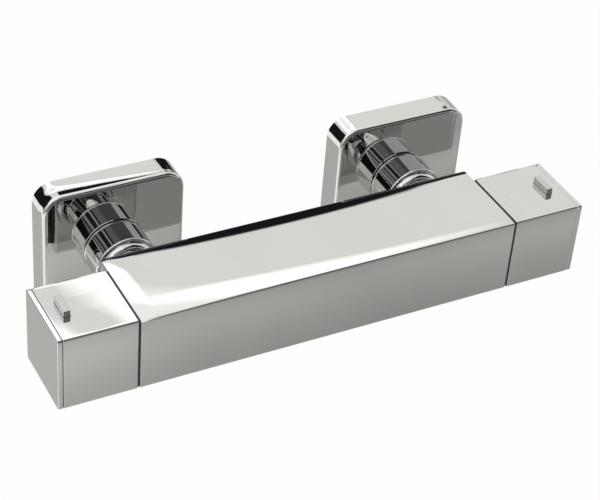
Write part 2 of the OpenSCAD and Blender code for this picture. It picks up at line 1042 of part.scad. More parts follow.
// Cube-shaped handle shell with its web, hub, spring shelf and button window
module handle_shell(side) {
    inner = bar_section - 2 * handle_wall;
    notch_half = slider_width / 2 + slider_play;
    notch_bottom = slider_bottom - button_travel - slider_play;
    shelf_end = button_middle + shelf_width / 2;
    color("gainsboro")
        on_side(side)
            difference() {
                union() {
                    difference() {
                        bar_prism(bar_section, front_edge_radius, handle_start, handle_end);
                        block([handle_start - overrun, -inner / 2, -inner / 2],
                              [handle_end + overrun, inner / 2, inner / 2]);
                    }
                    block([web_start, -inner / 2 - handle_wall / 2, -inner / 2 - handle_wall / 2],
                          [web_end, inner / 2 + handle_wall / 2, inner / 2 + handle_wall / 2]);
                    rotate([0, 90, 0])
                        ring(hub_radius, 0, web_start - hub_length, web_start);
                    block([web_end - web_thickness / 2, button_shift - shelf_width / 2,
                           shelf_top - shelf_thickness],
                          [shelf_end, button_shift + shelf_width / 2, shelf_top]);
                }
                rotate([0, 90, 0]) {
                    translate([0, 0, web_start - hub_length - overrun])
                        cylinder(hub_length + overrun, r = hub_hex_radius + adapter_play, $fn = 6);
                    ring(screw_radius + screw_hole_play, 0, web_start - overrun, web_end + overrun);
                }
                block([web_start - overrun, button_shift - notch_half, notch_bottom],
                      [web_end + overrun, button_shift + notch_half, inner / 2]);
                block([button_middle - button_width / 2 - button_play,
                       button_shift - button_length / 2 - button_play, slider_top - handle_wall],
                      [button_middle + button_width / 2 + button_play,
                       button_shift + button_length / 2 + button_play, half_section + overrun]);
            }
}

module flow_handle() {
    handle_shell(flow_side);
}

module handle_screw(side) {
    head_end = web_end + screw_head_height;
    color("slategray")
        turned(side)
            difference() {
                union() {
                    ring(screw_radius, 0, web_end - screw_length, web_end);
                    ring(screw_head_radius, 0, web_end, head_end);
                }
                translate([0, 0, head_end - screw_socket_depth])
                    cylinder(screw_socket_depth + overrun, r = screw_socket_radius, $fn = 6);
            }
}

module flow_handle_screw() {
    handle_screw(flow_side);
}

// End cap plate with the spigot that snaps into its handle
module end_cap(side) {
    spigot = bar_section - 2 * handle_wall - 2 * cap_spigot_play;
    cap_end = cap_start + cap_thickness;
    color("gainsboro")
        on_side(side) {
            bar_prism(bar_section, front_edge_radius, cap_start, cap_end);
            difference() {
                block([handle_end - cap_spigot_depth, -spigot / 2, -spigot / 2],
                      [cap_start + cap_thickness / 2, spigot / 2, spigot / 2]);
                block([handle_end - cap_spigot_depth - overrun, -spigot / 2 + cap_spigot_wall,
                       -spigot / 2 + cap_spigot_wall],
                      [cap_start, spigot / 2 - cap_spigot_wall, spigot / 2 - cap_spigot_wall]);
            }
        }
}

module flow_cap() {
    end_cap(flow_side);
}

// Push button with the slider and the catch inside its handle
module push_button(side) {
    color("darkgray")
        on_side(side) {
            block([button_middle - button_width / 2, button_shift - button_length / 2, slider_bottom],
                  [button_middle + button_width / 2, button_shift + button_length / 2,
                   half_section + button_height]);
            block([slider_start, button_shift - slider_width / 2, slider_bottom],
                  [slider_end, button_shift + slider_width / 2, slider_top]);
            block([slider_start, button_shift - slider_width / 2, slider_bottom - catch_depth],
                  [slider_start + catch_length, button_shift + slider_width / 2, slider_bottom]);
        }
}

module eco_button() {
    push_button(flow_side);
}

module button_spring(side) {
    color("slategray")
        on_side(side)
            translate([button_middle, button_shift, 0])
                coil_spring("button", button_spring_radius, button_spring_wire,
                            shelf_top, slider_bottom, button_spring_turns);
}

module eco_spring() {
    button_spring(flow_side);
}

// Thermostat housing with its seats, windows and water rings
module thermostat_housing() {
    outer = thermo_radius - seat_gap;
    land_start = land_middle - land_half;
    land_end = land_middle + land_half;
    hot_annulus_start = hot_seat - annulus_run;
    cold_annulus_end = cold_seat + annulus_run / 2;
    color("ivory")
        turned(temperature_side)
            difference() {
                ring(outer, 0, thermo_floor, housing_end);
                ring(outer + overrun, annulus_radius, hot_annulus_start, land_start);
                ring(outer + overrun, annulus_radius, land_end, cold_annulus_end);
                ring_groove(body_ring_pitch_radius, body_ring_wire, land_middle, outer);
                ring_groove(body_ring_pitch_radius, body_ring_wire,
                            hot_annulus_start - inner_ring_setback, outer);
                ring(housing_bore_radius, 0, hot_seat, housing_end + overrun);
                ring(hot_chamber_radius, 0, thermo_floor + housing_floor_thickness, hot_seat + overrun);
                ring(housing_outlet_radius, 0, thermo_floor - overrun, hot_seat);
                for (i = [0 : window_count - 1])
                    rotate([0, 0, 360 * i / window_count])
                        for (start = [hot_seat, cold_seat - window_length])
                            block([hot_chamber_radius, -window_width / 2, start],
                                  [outer + overrun, window_width / 2, start + window_length]);
            }
}

// Round rings around the thermostat's housing and gland
module thermostat_rings() {
    heights = [
        land_middle,
        hot_seat - annulus_run - inner_ring_setback,
        body_end - gland_ring_setback
    ];
    color("black")
        turned(temperature_side)
            for (height = heights)
                o_ring(body_ring_pitch_radius, body_ring_wire, height);
}

// Gland that holds the thermostat in the body and guides the adjusting nut
module thermostat_gland() {
    nose_radius = housing_bore_radius - seat_gap;
    color("goldenrod")
        turned(temperature_side)
            difference() {
                union() {
                    ring(nose_radius, 0, cold_seat, housing_end);
                    ring(thermo_radius - seat_gap, 0, housing_end, body_end);
                    ring(boss_radius, 0, body_end, boss_end);
                }
                translate([0, 0, cold_seat - overrun])
                    cylinder(gland_shoulder - cold_seat + overrun, r = nut_hex_radius + nut_hex_play,
                             $fn = 6);
                ring(spindle_radius + running_gap, 0, gland_shoulder - overrun, boss_end + overrun);
                ring_groove(body_ring_pitch_radius, body_ring_wire, body_end - gland_ring_setback,
                            thermo_radius);
            }
}

// Shuttle that opens one supply as it closes the other
module mixing_shuttle() {
    outer = housing_bore_radius - running_gap;
    ring_middle = outer - shuttle_ring_wire;
    web_middle = (shuttle_web_start + shuttle_web_end) / 2;
    color("white")
        turned(temperature_side)
            difference() {
                union() {
                    ring(outer, outer - shuttle_wall, shuttle_in, shuttle_out);
                    ring(outer - shuttle_wall / 2, element_radius + seat_gap, shuttle_web_start,
                         shuttle_web_end);
                }
                for (i = [0 : shuttle_hole_count - 1])
                    rotate([0, 0, 360 * i / shuttle_hole_count])
                        translate([shuttle_hole_circle, 0, shuttle_web_start - overrun])
                            cylinder(shuttle_web_thickness + 2 * overrun, r = shuttle_hole_radius);
                ring_groove(ring_middle, shuttle_ring_wire, web_middle, outer);
            }
}

module shuttle_ring() {
    outer = housing_bore_radius - running_gap;
    color("black")
        turned(temperature_side)
            o_ring(outer - shuttle_ring_wire, shuttle_ring_wire, (shuttle_web_start + shuttle_web_end) / 2);
}

module shuttle_spring() {
    color("slategray")
        turned(temperature_side)
            coil_spring("shuttle", shuttle_spring_radius, shuttle_spring_wire,
                        thermo_floor + housing_floor_thickness, shuttle_web_start, shuttle_spring_turns);
}

// Wax element with its flange and its piston
module wax_element() {
    flange_end = shuttle_web_end + element_flange_thickness;
    color("peru")
        turned(temperature_side) {
            ring(element_radius, 0, shuttle_web_end - element_inner_length, element_nose_end);
            ring(element_flange_radius, 0, shuttle_web_end, flange_end);
            ring(piston_radius, 0, element_nose_end, nut_well_start);
        }
}

// Hexagonal nut that travels along the gland as the spindle turns
module adjusting_nut() {
    color("goldenrod")
        turned(temperature_side)
            difference() {
                translate([0, 0, nut_inner_start])
                    cylinder(nut_outer_end - nut_inner_start, r = nut_hex_radius, $fn = 6);
                ring(nut_lip_bore, 0, nut_inner_start - overrun, nut_well_start + overrun);
                ring(nut_well_radius, 0, nut_well_start, nut_well_end);
                ring(thread_core_radius + running_gap, 0, nut_well_end - overrun,
                     nut_outer_end + overrun);
            }
}

// Cup that carries the piston's push to the overload spring
module overload_cup() {
    top = nut_well_start + cup_thickness;
    color("silver")
        turned(temperature_side) {
            ring(cup_radius, 0, nut_well_start, top);
            ring(cup_radius, cup_radius - cup_rim, nut_well_start, top + cup_rim_height);
        }
}

module overload_spring() {
    color("slategray")
        turned(temperature_side)
            coil_spring("overload", overload_spring_radius, overload_spring_wire,
                        nut_well_start + cup_thickness, nut_well_end, overload_spring_turns);
}

module temperature_spindle() {
    color("goldenrod")
        turned(temperature_side) {
            ring(thread_core_radius, 0, thread_start, spindle_flange_start);
            ring(spindle_flange_radius, 0, spindle_flange_start, spindle_flange_end);
            spindle_stem(spindle_flange_start);
        }
}

module temperature_spindle_rings() {
    spindle_rings(temperature_side);
}

module temperature_spindle_clip() {
    spindle_clip(temperature_side);
}

module temperature_stop_ring() {
    stop_ring(temperature_side, safety_lug_angle);
}

module temperature_glide_ring() {
    glide_ring(temperature_side);
}

module temperature_adapter() {
    handle_adapter(temperature_side);
}

module temperature_handle() {
    handle_shell(temperature_side);
}

module temperature_handle_screw() {
    handle_screw(temperature_side);
}

module temperature_cap() {
    end_cap(temperature_side);
}

module safety_button() {
    push_button(temperature_side);
}

module safety_spring() {
    button_spring(temperature_side);
}

valve_body();
outlet_nipple();
hot_union();
cold_union();
hot_wall_plate();
cold_wall_plate();
hot_plate_seal();
cold_plate_seal();
hot_union_nut();
cold_union_nut();
hot_filter_washer();
cold_filter_washer();
hot_inlet_tail();
cold_inlet_tail();
inlet_tail_rings();
hot_check_body();
cold_check_body();
hot_check_poppet();
cold_check_poppet();
hot_check_spring();
cold_check_spring();
flow_headpart();
flow_headpart_ring();
flow_base_seal();
fixed_disc();
moving_disc();
flow_spindle();
flow_spindle_rings();
flow_spindle_clip();
flow_stop_ring();
flow_glide_ring();
flow_adapter();
flow_handle();
flow_handle_screw();
flow_cap();
eco_button();
eco_spring();
thermostat_housing();
thermostat_rings();
thermostat_gland();
mixing_shuttle();
shuttle_ring();
shuttle_spring();
wax_element();
adjusting_nut();
overload_cup();
overload_spring();
temperature_spindle();
temperature_spindle_rings();
temperature_spindle_clip();
temperature_stop_ring();
temperature_glide_ring();
temperature_adapter();
temperature_handle();
temperature_handle_screw();
temperature_cap();
safety_button();
safety_spring();
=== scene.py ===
"""Looks of a thermostatic bar shower valve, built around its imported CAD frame.

Lengths in the classes are millimetres in the CAD frame: the origin lies on the wall, midway between
the wall studs, X runs along the bar, -Y points to the user and +Z points up.
"""

import json
import logging
import math
from collections.abc import Callable, Sequence
from dataclasses import dataclass
from enum import Enum

import bmesh
import bpy
from mathutils import Matrix, Vector

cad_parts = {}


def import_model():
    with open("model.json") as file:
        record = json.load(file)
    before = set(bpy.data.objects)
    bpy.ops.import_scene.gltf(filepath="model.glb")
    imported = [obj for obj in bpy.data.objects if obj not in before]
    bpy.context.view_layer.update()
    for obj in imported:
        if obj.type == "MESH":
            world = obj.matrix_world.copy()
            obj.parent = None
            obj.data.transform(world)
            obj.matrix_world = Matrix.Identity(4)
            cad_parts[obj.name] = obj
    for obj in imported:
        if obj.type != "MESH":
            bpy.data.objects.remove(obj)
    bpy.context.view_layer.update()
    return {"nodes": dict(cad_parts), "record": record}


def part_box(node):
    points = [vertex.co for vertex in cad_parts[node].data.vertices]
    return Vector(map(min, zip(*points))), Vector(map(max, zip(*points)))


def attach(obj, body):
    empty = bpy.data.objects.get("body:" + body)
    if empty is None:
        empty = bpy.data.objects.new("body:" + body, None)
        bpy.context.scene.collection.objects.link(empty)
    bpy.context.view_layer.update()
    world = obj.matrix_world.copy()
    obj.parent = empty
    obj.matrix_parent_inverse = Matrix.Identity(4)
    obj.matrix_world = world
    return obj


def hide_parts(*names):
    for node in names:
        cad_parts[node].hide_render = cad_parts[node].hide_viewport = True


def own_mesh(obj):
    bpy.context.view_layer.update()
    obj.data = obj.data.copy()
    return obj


LOG = logging.getLogger("valve")

Point = tuple[float, float, float]
Pair = tuple[float, float]
Colour = tuple[float, float, float]
Place = Callable[[float, float, float], Point]

MM = 0.001  # metres in a millimetre
AXIS_Y = -69.2  # the bar's axis, out from the wall
AXIS_Z = 6.0  # the bar's axis, above the studs
HALF = 19.0  # half of the bar's square section
BODY_END = 93.4  # the middle body's ends
INLET = 75.0  # the inlets, from the bar's middle
OUTLET = 13.0  # the hose outlet, behind the bar's axis
PIPE_THREAD = 10.48  # outer radius of a G1/2 thread
CRISP = 24.0  # edges that turn more than this many degrees stay crisp
ROUND_CRISP = 40.0  # the same for turned and threaded pieces
TINY = 1e-6  # lengths closer than this are the same
MERGE = 1e-7  # points closer than this become one, in metres
BLACK: Colour = (0.012, 0.012, 0.014)
WHITE: Colour = (1.0, 1.0, 1.0)

# Radius of the wire and number of turns, by the last part of the spring's node
COILS: dict[str, tuple[float, int]] = {
    "check_spring": (0.3, 3),
    "eco_spring": (0.3, 5),
    "safety_spring": (0.3, 5),
    "shuttle_spring": (0.7, 8),
}


class Side(Enum):
    """End of the bar, with the sign of its X."""

    HOT = -1
    COLD = 1


class Blend(Enum):
    """Ways in which two colours are mixed."""

    MIX = "MIX"
    MULTIPLY = "MULTIPLY"


# Shader maths


class Value:
    """A number socket that takes part in Python expressions."""

    def __init__(self, tree: "Tree", socket: bpy.types.NodeSocket) -> None:
        """Wraps one output socket of a tree."""
        self.tree = tree
        self.socket = socket

    def _math(self, operation: str, *terms: "Value | float", clamp: bool = False) -> "Value":
        """Adds one Math node over the terms.

        Args:
            operation: the Math node's operation.
            terms: its inputs in order.
            clamp: whether the result is kept from 0 to 1.

        Returns:
            The node's output.
        """
        node = self.tree.add("ShaderNodeMath", {"operation": operation, "use_clamp": clamp},
                             dict(enumerate(terms)))
        return Value(self.tree, node.outputs[0])

    def __add__(self, other: "Value | float") -> "Value":
        """Returns self + other."""
        return self._math("ADD", self, other)

    def __radd__(self, other: float) -> "Value":
        """Returns other + self."""
        return self._math("ADD", other, self)

    def __sub__(self, other: "Value | float") -> "Value":
        """Returns self - other."""
        return self._math("SUBTRACT", self, other)

    def __rsub__(self, other: float) -> "Value":
        """Returns other - self."""
        return self._math("SUBTRACT", other, self)

    def __mul__(self, other: "Value | float") -> "Value":
        """Returns self * other."""
        return self._math("MULTIPLY", self, other)

    def __rmul__(self, other: float) -> "Value":
        """Returns other * self."""
        return self._math("MULTIPLY", other, self)

    def __truediv__(self, other: "Value | float") -> "Value":
        """Returns self / other."""
        return self._math("DIVIDE", self, other)

    def __rtruediv__(self, other: float) -> "Value":
        """Returns other / self."""
        return self._math("DIVIDE", other, self)

    def __gt__(self, other: "Value | float") -> "Value":
        """Returns 1 where self is above other, else 0."""
        return self._math("GREATER_THAN", self, other)

    def __abs__(self) -> "Value":
        """Returns the value without its sign."""
        return self._math("ABSOLUTE", self)

    def clamped(self) -> "Value":
        """Returns the value kept from 0 to 1."""
        return self._math("ADD", self, 0.0, clamp=True)


class Tree:
    """A node tree in which every node comes from one method."""

    def __init__(self, tree: bpy.types.NodeTree) -> None:
        """Starts on an emptied node tree."""
        self.tree = tree
        tree.nodes.clear()

    def add(self, kind: str, settings: dict | None = None,
            inputs: dict | None = None) -> bpy.types.Node:
        """Adds a node.

        Args:
            kind: the node's type.
            settings: its own settings, set first. "stops" holds a ramp's stops.
            inputs: socket name or number to the value or output that feeds it.

        Returns:
            The new node.
        """
        node = self.tree.nodes.new(kind)
        for name, setting in (settings or {}).items():
            if name == "stops":
                elements = node.color_ramp.elements
                elements[0].position, elements[-1].position = setting[0][0], setting[-1][0]
                for place, _ in setting[1:-1]:
                    elements.new(place)
                for element, (_, grey) in zip(elements, setting):
                    element.color = (grey, grey, grey, 1.0)
            else:
                setattr(node, name, setting)
        for name, value in (inputs or {}).items():
            socket = node.inputs[name]
            if isinstance(value, (Value, bpy.types.NodeSocket)):
                self.feed(node, name, value)
            elif socket.type == "RGBA":
                socket.default_value = (*value[:3], 1.0)
            else:
                socket.default_value = value
        return node

    def feed(self, node: bpy.types.Node, name: str | int,
             source: Value | bpy.types.NodeSocket) -> None:
        """Links a source to the node's input of that name or number."""
        socket = source.socket if isinstance(source, Value) else source
        self.tree.links.new(socket, node.inputs[name])

    def value(self, kind: str, settings: dict | None, inputs: dict, output: str) -> Value:
        """Adds a node and returns its output of that name as a number."""
        return Value(self, self.add(kind, settings, inputs).outputs[output])

    def mix(self, factor: Value | float, first: object, second: object,
            blend: Blend = Blend.MIX) -> bpy.types.NodeSocket:
        """Mixes two colours.

        Args:
            factor: share of the second colour.
            first: colour or output.
            second: colour or output.
            blend: how they are mixed.

        Returns:
            The mixed colour's socket.
        """
        node = self.add("ShaderNodeMix", {"data_type": "RGBA", "blend_type": blend.value},
                        {0: factor, 6: first, 7: second})
        return node.outputs[2]

    def place(self) -> bpy.types.NodeSocket:
        """Returns the surface point in the CAD frame, in metres."""
        return self.add("ShaderNodeTexCoord").outputs["Object"]

    def noise(self, scale: float, detail: float = 3.0, stretch: Point = (1.0, 1.0, 1.0)) -> Value:
        """Adds noise over the surface.

        Args:
            scale: spots per metre.
            detail: octaves of finer spots.
            stretch: factors on X, Y and Z.

        Returns:
            A number around 0.5.
        """
        point = self.add("ShaderNodeVectorMath", {"operation": "MULTIPLY"},
                         {0: self.place(), 1: stretch})
        return self.value("ShaderNodeTexNoise", None,
                          {"Vector": point.outputs[0], "Scale": scale, "Detail": detail}, "Fac")

    def bump(self, height: Value, depth: float) -> bpy.types.NodeSocket:
        """Returns a normal bumped by a height of the given depth in metres."""
        return self.add("ShaderNodeBump", None,
                        {"Height": height, "Strength": 1.0, "Distance": depth}).outputs["Normal"]


# Finishes


@dataclass(frozen=True)
class Finish:
    """Base of every finish: a name, a colour and how rough it is."""

    name: str
    colour: Colour
    roughness: float

    def dress(self, tree: Tree, surface: bpy.types.Node) -> None:
        """Adds the finish's own nodes.

        Args:
            tree: the material's tree.
            surface: its Principled BSDF.
        """

    def material(self) -> bpy.types.Material:
        """Makes the finish's material, or finds the one made before.

        Returns:
            The material.
        """
        known = bpy.data.materials.get(f"look_{self.name}")
        if known is not None:
            return known
        made = bpy.data.materials.new(f"look_{self.name}")
        made.use_nodes = True
        tree = Tree(made.node_tree)
        surface = tree.add("ShaderNodeBsdfPrincipled", None,
                           {"Base Color": self.colour, "Roughness": self.roughness})
        self.dress(tree, surface)
        tree.add("ShaderNodeOutputMaterial", None, {"Surface": surface.outputs[0]})
        made.diffuse_color = (*self.colour, 1.0)
        return made

    def spread(self, tree: Tree, noise: Value, darker: float) -> bpy.types.NodeSocket:
        """Returns the colour, darkened by up to `darker` where the noise is high."""
        dark = tuple(channel * (1.0 - darker) for channel in self.colour)
        return tree.mix(((noise - 0.35) * 3.0).clamped(), self.colour, dark)


@dataclass(frozen=True)
class Plated(Finish):
    """Chrome plate: a mirror or a satin surface, with a faint polishing haze."""

    haze: float = 0.03
    smear_scale: float = 46.0
    smear_stretch: Point = (1.0, 0.6, 0.6)
    smear_shade: float = 0.03
    spot_scale: float = 900.0
    spot_haze: float = 0.01

    def dress(self, tree: Tree, surface: bpy.types.Node) -> None:
        """Adds the haze and the stains of use.

        Args:
            tree: the material's tree.
            surface: its Principled BSDF.
        """
        surface.inputs["Metallic"].default_value = 1.0
        smear = tree.noise(self.smear_scale, 4.0, self.smear_stretch)
        spots = tree.noise(self.spot_scale, 2.0)
        rough = self.roughness + self.haze * (smear - 0.4).clamped()
        tree.feed(surface, "Roughness", rough + self.spot_haze * (spots - 0.55).clamped())
        tree.feed(surface, "Base Color", self.spread(tree, smear, self.smear_shade))


@dataclass(frozen=True)
class Machined(Finish):
    """Bare metal with fine turning marks and stains."""

    marks: Point = (9.0, 1.0, 1.0)
    depth: float = 0.00001
    stain: float = 0.25
    mark_scale: float = 700.0
    stain_scale: float = 85.0

    def dress(self, tree: Tree, surface: bpy.types.Node) -> None:
        """Adds turning marks, stains and uneven gloss.

        Args:
            tree: the material's tree.
            surface: its Principled BSDF.
        """
        surface.inputs["Metallic"].default_value = 1.0
        marks = tree.noise(self.mark_scale, 2.0, self.marks)
        stains = tree.noise(self.stain_scale, 5.0)
        rough = self.roughness + 0.18 * (stains - 0.4) + 0.1 * (marks - 0.5)
        tree.feed(surface, "Base Color", self.spread(tree, stains, self.stain))
        tree.feed(surface, "Roughness", rough.clamped())
        tree.feed(surface, "Normal", tree.bump(marks, self.depth))


@dataclass(frozen=True)
class Moulded(Finish):
    """Plastic, rubber or ceramic with a fine grain."""

    grain: float = 2600.0
    depth: float = 0.000012
    shade: float = 0.12
    cloud_scale: float = 110.0

    def dress(self, tree: Tree, surface: bpy.types.Node) -> None:
        """Adds the grain, its shade and its gloss.

        Args:
            tree: the material's tree.
            surface: its Principled BSDF.
        """
        grain = tree.noise(self.grain)
        cloud = tree.noise(self.cloud_scale)
        rough = self.roughness + 0.12 * (grain - 0.5) + 0.08 * (cloud - 0.5)
        tree.feed(surface, "Base Color", self.spread(tree, cloud, self.shade))
        tree.feed(surface, "Roughness", rough.clamped())
        tree.feed(surface, "Normal", tree.bump(grain, self.depth))


@dataclass(frozen=True)
class Cellular(Finish):
    """Closed-cell foam."""

    cells: float = 1500.0
    shade: float = 0.35
    dent: float = 0.00025

    def dress(self, tree: Tree, surface: bpy.types.Node) -> None:
        """Adds the cells as dents, with painted shade that darkens their hollows.

        Args:
            tree: the material's tree.
            surface: its Principled BSDF.
        """
        cell = tree.value("ShaderNodeTexVoronoi", None,
                          {"Vector": tree.place(), "Scale": self.cells}, "Distance")
        # Painted shade: darker where the cells dent the surface.
        tree.feed(surface, "Base Color", self.spread(tree, 1.0 - cell, self.shade))
        tree.feed(surface, "Normal", tree.bump(cell, self.dent))


CHROME = Plated("mirror_chrome", (0.66, 0.66, 0.65), 0.012, 0.02)
SATIN = Plated("satin_chrome", (0.66, 0.66, 0.68), 0.32, 0.06)
ETCHED = Plated("etched_marks", (0.61, 0.61, 0.60), 0.10, 0.02)
BRASS = Machined("turned_brass", (0.72, 0.53, 0.27), 0.32)
FINISHES: dict[str, Finish] = {
    "chrome_body": CHROME,
    "chrome_handle": CHROME,
    "chrome_cap": CHROME,
    "chrome_plate": CHROME,
    "chrome_nut": CHROME,
    "chrome_outlet": CHROME,
    "brass": BRASS,
    "button_grey": SATIN,
    "rubber_black": Moulded("sealing_rubber", (0.018, 0.018, 0.019), 0.55),
    "foam_grey": Cellular("foam_seal", (0.09, 0.09, 0.095), 0.9),
    "ceramic": Moulded("fired_ceramic", (0.82, 0.80, 0.75), 0.22, 4200.0, 0.000003, 0.05),
    "plastic_white": Moulded("white_plastic", (0.78, 0.78, 0.76), 0.42),
    "plastic_blue": Moulded("blue_plastic", (0.03, 0.16, 0.52), 0.4),
    "plastic_orange": Moulded("orange_plastic", (0.72, 0.20, 0.03), 0.42),
    "plastic_black": Moulded("black_plastic", (0.03, 0.03, 0.032), 0.45),
    "spring_steel": Machined("spring_steel", (0.55, 0.54, 0.52), 0.28, (1.0, 1.0, 6.0), 0.000004,
                             0.12),
    "screw_steel": Machined("screw_steel", (0.50, 0.49, 0.47), 0.3, (1.0, 6.0, 6.0), 0.000006,
                            0.15),
    "copper": Machined("wax_copper", (0.75, 0.40, 0.25), 0.3, (6.0, 1.0, 1.0), 0.000006, 0.2),
}


# Meshes


def circle(radius: float, steps: int) -> list[Pair]:
    """Returns points evenly spaced around a circle."""
    angles = (2 * math.pi * k / steps for k in range(steps))
    return [(radius * math.cos(angle), radius * math.sin(angle)) for angle in angles]


def quarter(steps: int) -> list[Pair]:
    """Returns a quarter round of radius 1 as pairs of distances from its two tangents."""
    angles = (math.pi / 2 * k / steps for k in range(steps + 1))
    return [(1 - math.sin(angle), 1 - math.cos(angle)) for angle in angles]


@dataclass(frozen=True)
class Outline:
    """A rectangle with rounded corners, as a ring of points that keeps its count when inset.

    The radii are those of the corners (-, -), (+, -), (+, +) and (-, +), named by the signs of
    their coordinates. Each side is divided at shares of its straight part, and one side at fixed
    marks too. An arc is the number of steps around a corner.
    """

    low: Pair
    high: Pair
    radii: tuple[float, float, float, float]
    shares: tuple[float, ...]
    marks: tuple[float, ...] = ()
    marked_side: int = -1
    arc: int = 6
    least_radius: float = 0.02

    def ring(self, inset: float = 0.0) -> list[Pair]:
        """Returns the ring's points, anticlockwise.

        Args:
            inset: how far the ring lies inside the outline.

        Returns:
            The points, from the start of the first side.
        """
        (u0, v0), (u1, v1) = self.low, self.high
        u0, v0, u1, v1 = u0 + inset, v0 + inset, u1 - inset, v1 - inset
        radii = [max(radius - inset, self.least_radius) for radius in self.radii]
        corners = [(u0, v0), (u1, v0), (u1, v1), (u0, v1)]
        along = [(1, 0), (0, 1), (-1, 0), (0, -1)]
        points: list[Pair] = []
        for side in range(4):
            start, end = corners[side], corners[(side + 1) % 4]
            direction = along[side]
            r0, r1 = radii[side], radii[(side + 1) % 4]
            length = abs(end[0] - start[0]) + abs(end[1] - start[1])
            places = [r0 + share * (length - r0 - r1) for share in self.shares]
            if side == self.marked_side:
                axis = 0 if direction[0] else 1
                places += [(mark - start[axis]) * direction[axis] for mark in self.marks]
            places = [r0, *sorted(places), length - r1]
            points += [(start[0] + direction[0] * t, start[1] + direction[1] * t) for t in places]
            turn = along[(side + 1) % 4]
            centre = [end[k] - direction[k] * r1 + turn[k] * r1 for k in range(2)]
            for step in range(1, self.arc):
                angle = math.pi / 2 * step / self.arc
                sine, cosine = math.sin(angle), math.cos(angle)
                u, v = (centre[k] + r1 * (direction[k] * sine - turn[k] * cosine) for k in range(2))
                points.append((u, v))
        return points

    def hole(self, radius: float) -> list[Pair]:
        """Returns a circle around the origin with as many points as ring() has.

        Args:
            radius: the circle's radius.

        Returns:
            The points, at the angles at which ring()'s points are seen from its middle.
        """
        middle = ((self.low[0] + self.high[0]) / 2, (self.low[1] + self.high[1]) / 2)
        angles = (math.atan2(v - middle[1], u - middle[0]) for u, v in self.ring())
        return [(radius * math.cos(angle), radius * math.sin(angle)) for angle in angles]


def roll_off(distance: float, reach: float, depth: float) -> float:
    """Returns how far a polished face falls away near its edge.

    Args:
        distance: distance from the edge.
        reach: width of the strip in which the face falls away.
        depth: fall at the edge itself.

    Returns:
        The fall, in the units of depth.
    """
    return depth * (1.0 - min(distance, reach) / reach) ** 2 if distance < reach else 0.0


class Skin:
    """A mesh that grows ring by ring."""

    def __init__(self) -> None:
        """Starts with no points and no faces."""
        self.points: list[Point] = []
        self.faces: list[list[int]] = []

    def ring(self, points: Sequence[Point]) -> list[int]:
        """Adds a closed ring of points and returns their numbers."""
        self.points.extend(points)
        return list(range(len(self.points) - len(points), len(self.points)))

    def bridge(self, one: list[int], other: list[int],
               skip: frozenset[int] = frozenset()) -> None:
        """Joins two rings with quads.

        Args:
            one: numbers of the first ring.
            other: numbers of the second ring.
            skip: quads that are left open.
        """
        count = len(one)
        for k in range(count):
            if k not in skip:
                after = (k + 1) % count
                self.faces.append([one[k], one[after], other[after], other[k]])

    def loft(self, rings: Sequence[Sequence[Point]], closed: bool = False) -> list[list[int]]:
        """Adds rings and joins each to the next.

        Args:
            rings: the rings in order.
            closed: whether the last ring is joined to the first.

        Returns:
            The numbers of every ring.
        """
        numbers = [self.ring(points) for points in rings]
        for one, other in zip(numbers, numbers[1:]):
            self.bridge(one, other)
        if closed:
            self.bridge(numbers[-1], numbers[0])
        return numbers

    def solid(self, rings: Sequence[Sequence[Point]]) -> None:
        """Adds rings, joins each to the next and closes both ends with a face."""
        numbers = self.loft(rings)
        self.faces += [numbers[0], numbers[-1]]

    def box(self, low: Point, high: Point, bevel: float) -> None:
        """Adds a block with chamfered edges around X.

        Args:
            low: its lowest corner.
            high: its highest corner.
            bevel: width of the chamfer.
        """
        outline = Outline((low[1], low[2]), (high[1], high[2]), (bevel,) * 4, (0.5,), arc=3)
        x0, x1 = low[0], high[0]
        stations = [(x0, bevel), (x0 + bevel, 0.0), (x1 - bevel, 0.0), (x1, bevel)]
        self.solid([[(x, u, v) for u, v in outline.ring(inset)] for x, inset in stations])

    def build(self, name: str, angle: float = CRISP) -> bpy.types.Object:
        """Makes the object, in metres, with crisp edges above an angle.

        Args:
            name: the piece's name.
            angle: edges that turn more than this many degrees stay crisp.

        Returns:
            The object, linked to the scene.
        """
        data = bpy.data.meshes.new(name)
        data.from_pydata([(x * MM, y * MM, z * MM) for x, y, z in self.points], [], self.faces)
        shape = bmesh.new()
        shape.from_mesh(data)
        bmesh.ops.remove_doubles(shape, verts=shape.verts, dist=MERGE)
        bmesh.ops.recalc_face_normals(shape, faces=shape.faces)
        shape.to_mesh(data)
        shape.free()
        return smooth(link(name, data), angle)


def link(name: str, data: bpy.types.ID) -> bpy.types.Object:
    """Makes an object of the data and links it to the scene.

    Args:
        name: the object's name.
        data: its mesh, text, camera or light.

    Returns:
        The object.
    """
    made = bpy.data.objects.new(name, data)
    bpy.context.scene.collection.objects.link(made)
    return made


def settle(piece: bpy.types.Object) -> None:
    """Writes a piece's modifiers into its mesh and removes them.

    Args:
        piece: the object.
    """
    graph = bpy.context.evaluated_depsgraph_get()
    made = bpy.data.meshes.new_from_object(piece.evaluated_get(graph))
    piece.modifiers.clear()
    piece.data = made


def smooth(piece: bpy.types.Object, angle: float = CRISP) -> bpy.types.Object:
    """Shades a piece smooth, and flat on its large faces.

    Args:
        piece: the object.
        angle: edges that turn more than this many degrees stay crisp.

    Returns:
        The same object.
    """
    piece.data.shade_smooth()
    piece.data.set_sharp_from_angle(angle=math.radians(angle))
    weighted = piece.modifiers.new("weighted", "WEIGHTED_NORMAL")
    weighted.keep_sharp = True
    settle(piece)
    return piece


def carve(piece: bpy.types.Object, cutters: Sequence[bpy.types.Object]) -> None:
    """Cuts other meshes out of a piece and removes them.

    Args:
        piece: what is cut.
        cutters: closed meshes that are taken away.
    """
    for cutter in cutters:
        modifier = piece.modifiers.new("cut", "BOOLEAN")
        modifier.operation = "DIFFERENCE"
        modifier.solver = "EXACT"
        modifier.object = cutter
    settle(piece)
    for cutter in cutters:
        bpy.data.objects.remove(cutter)
    smooth(piece)


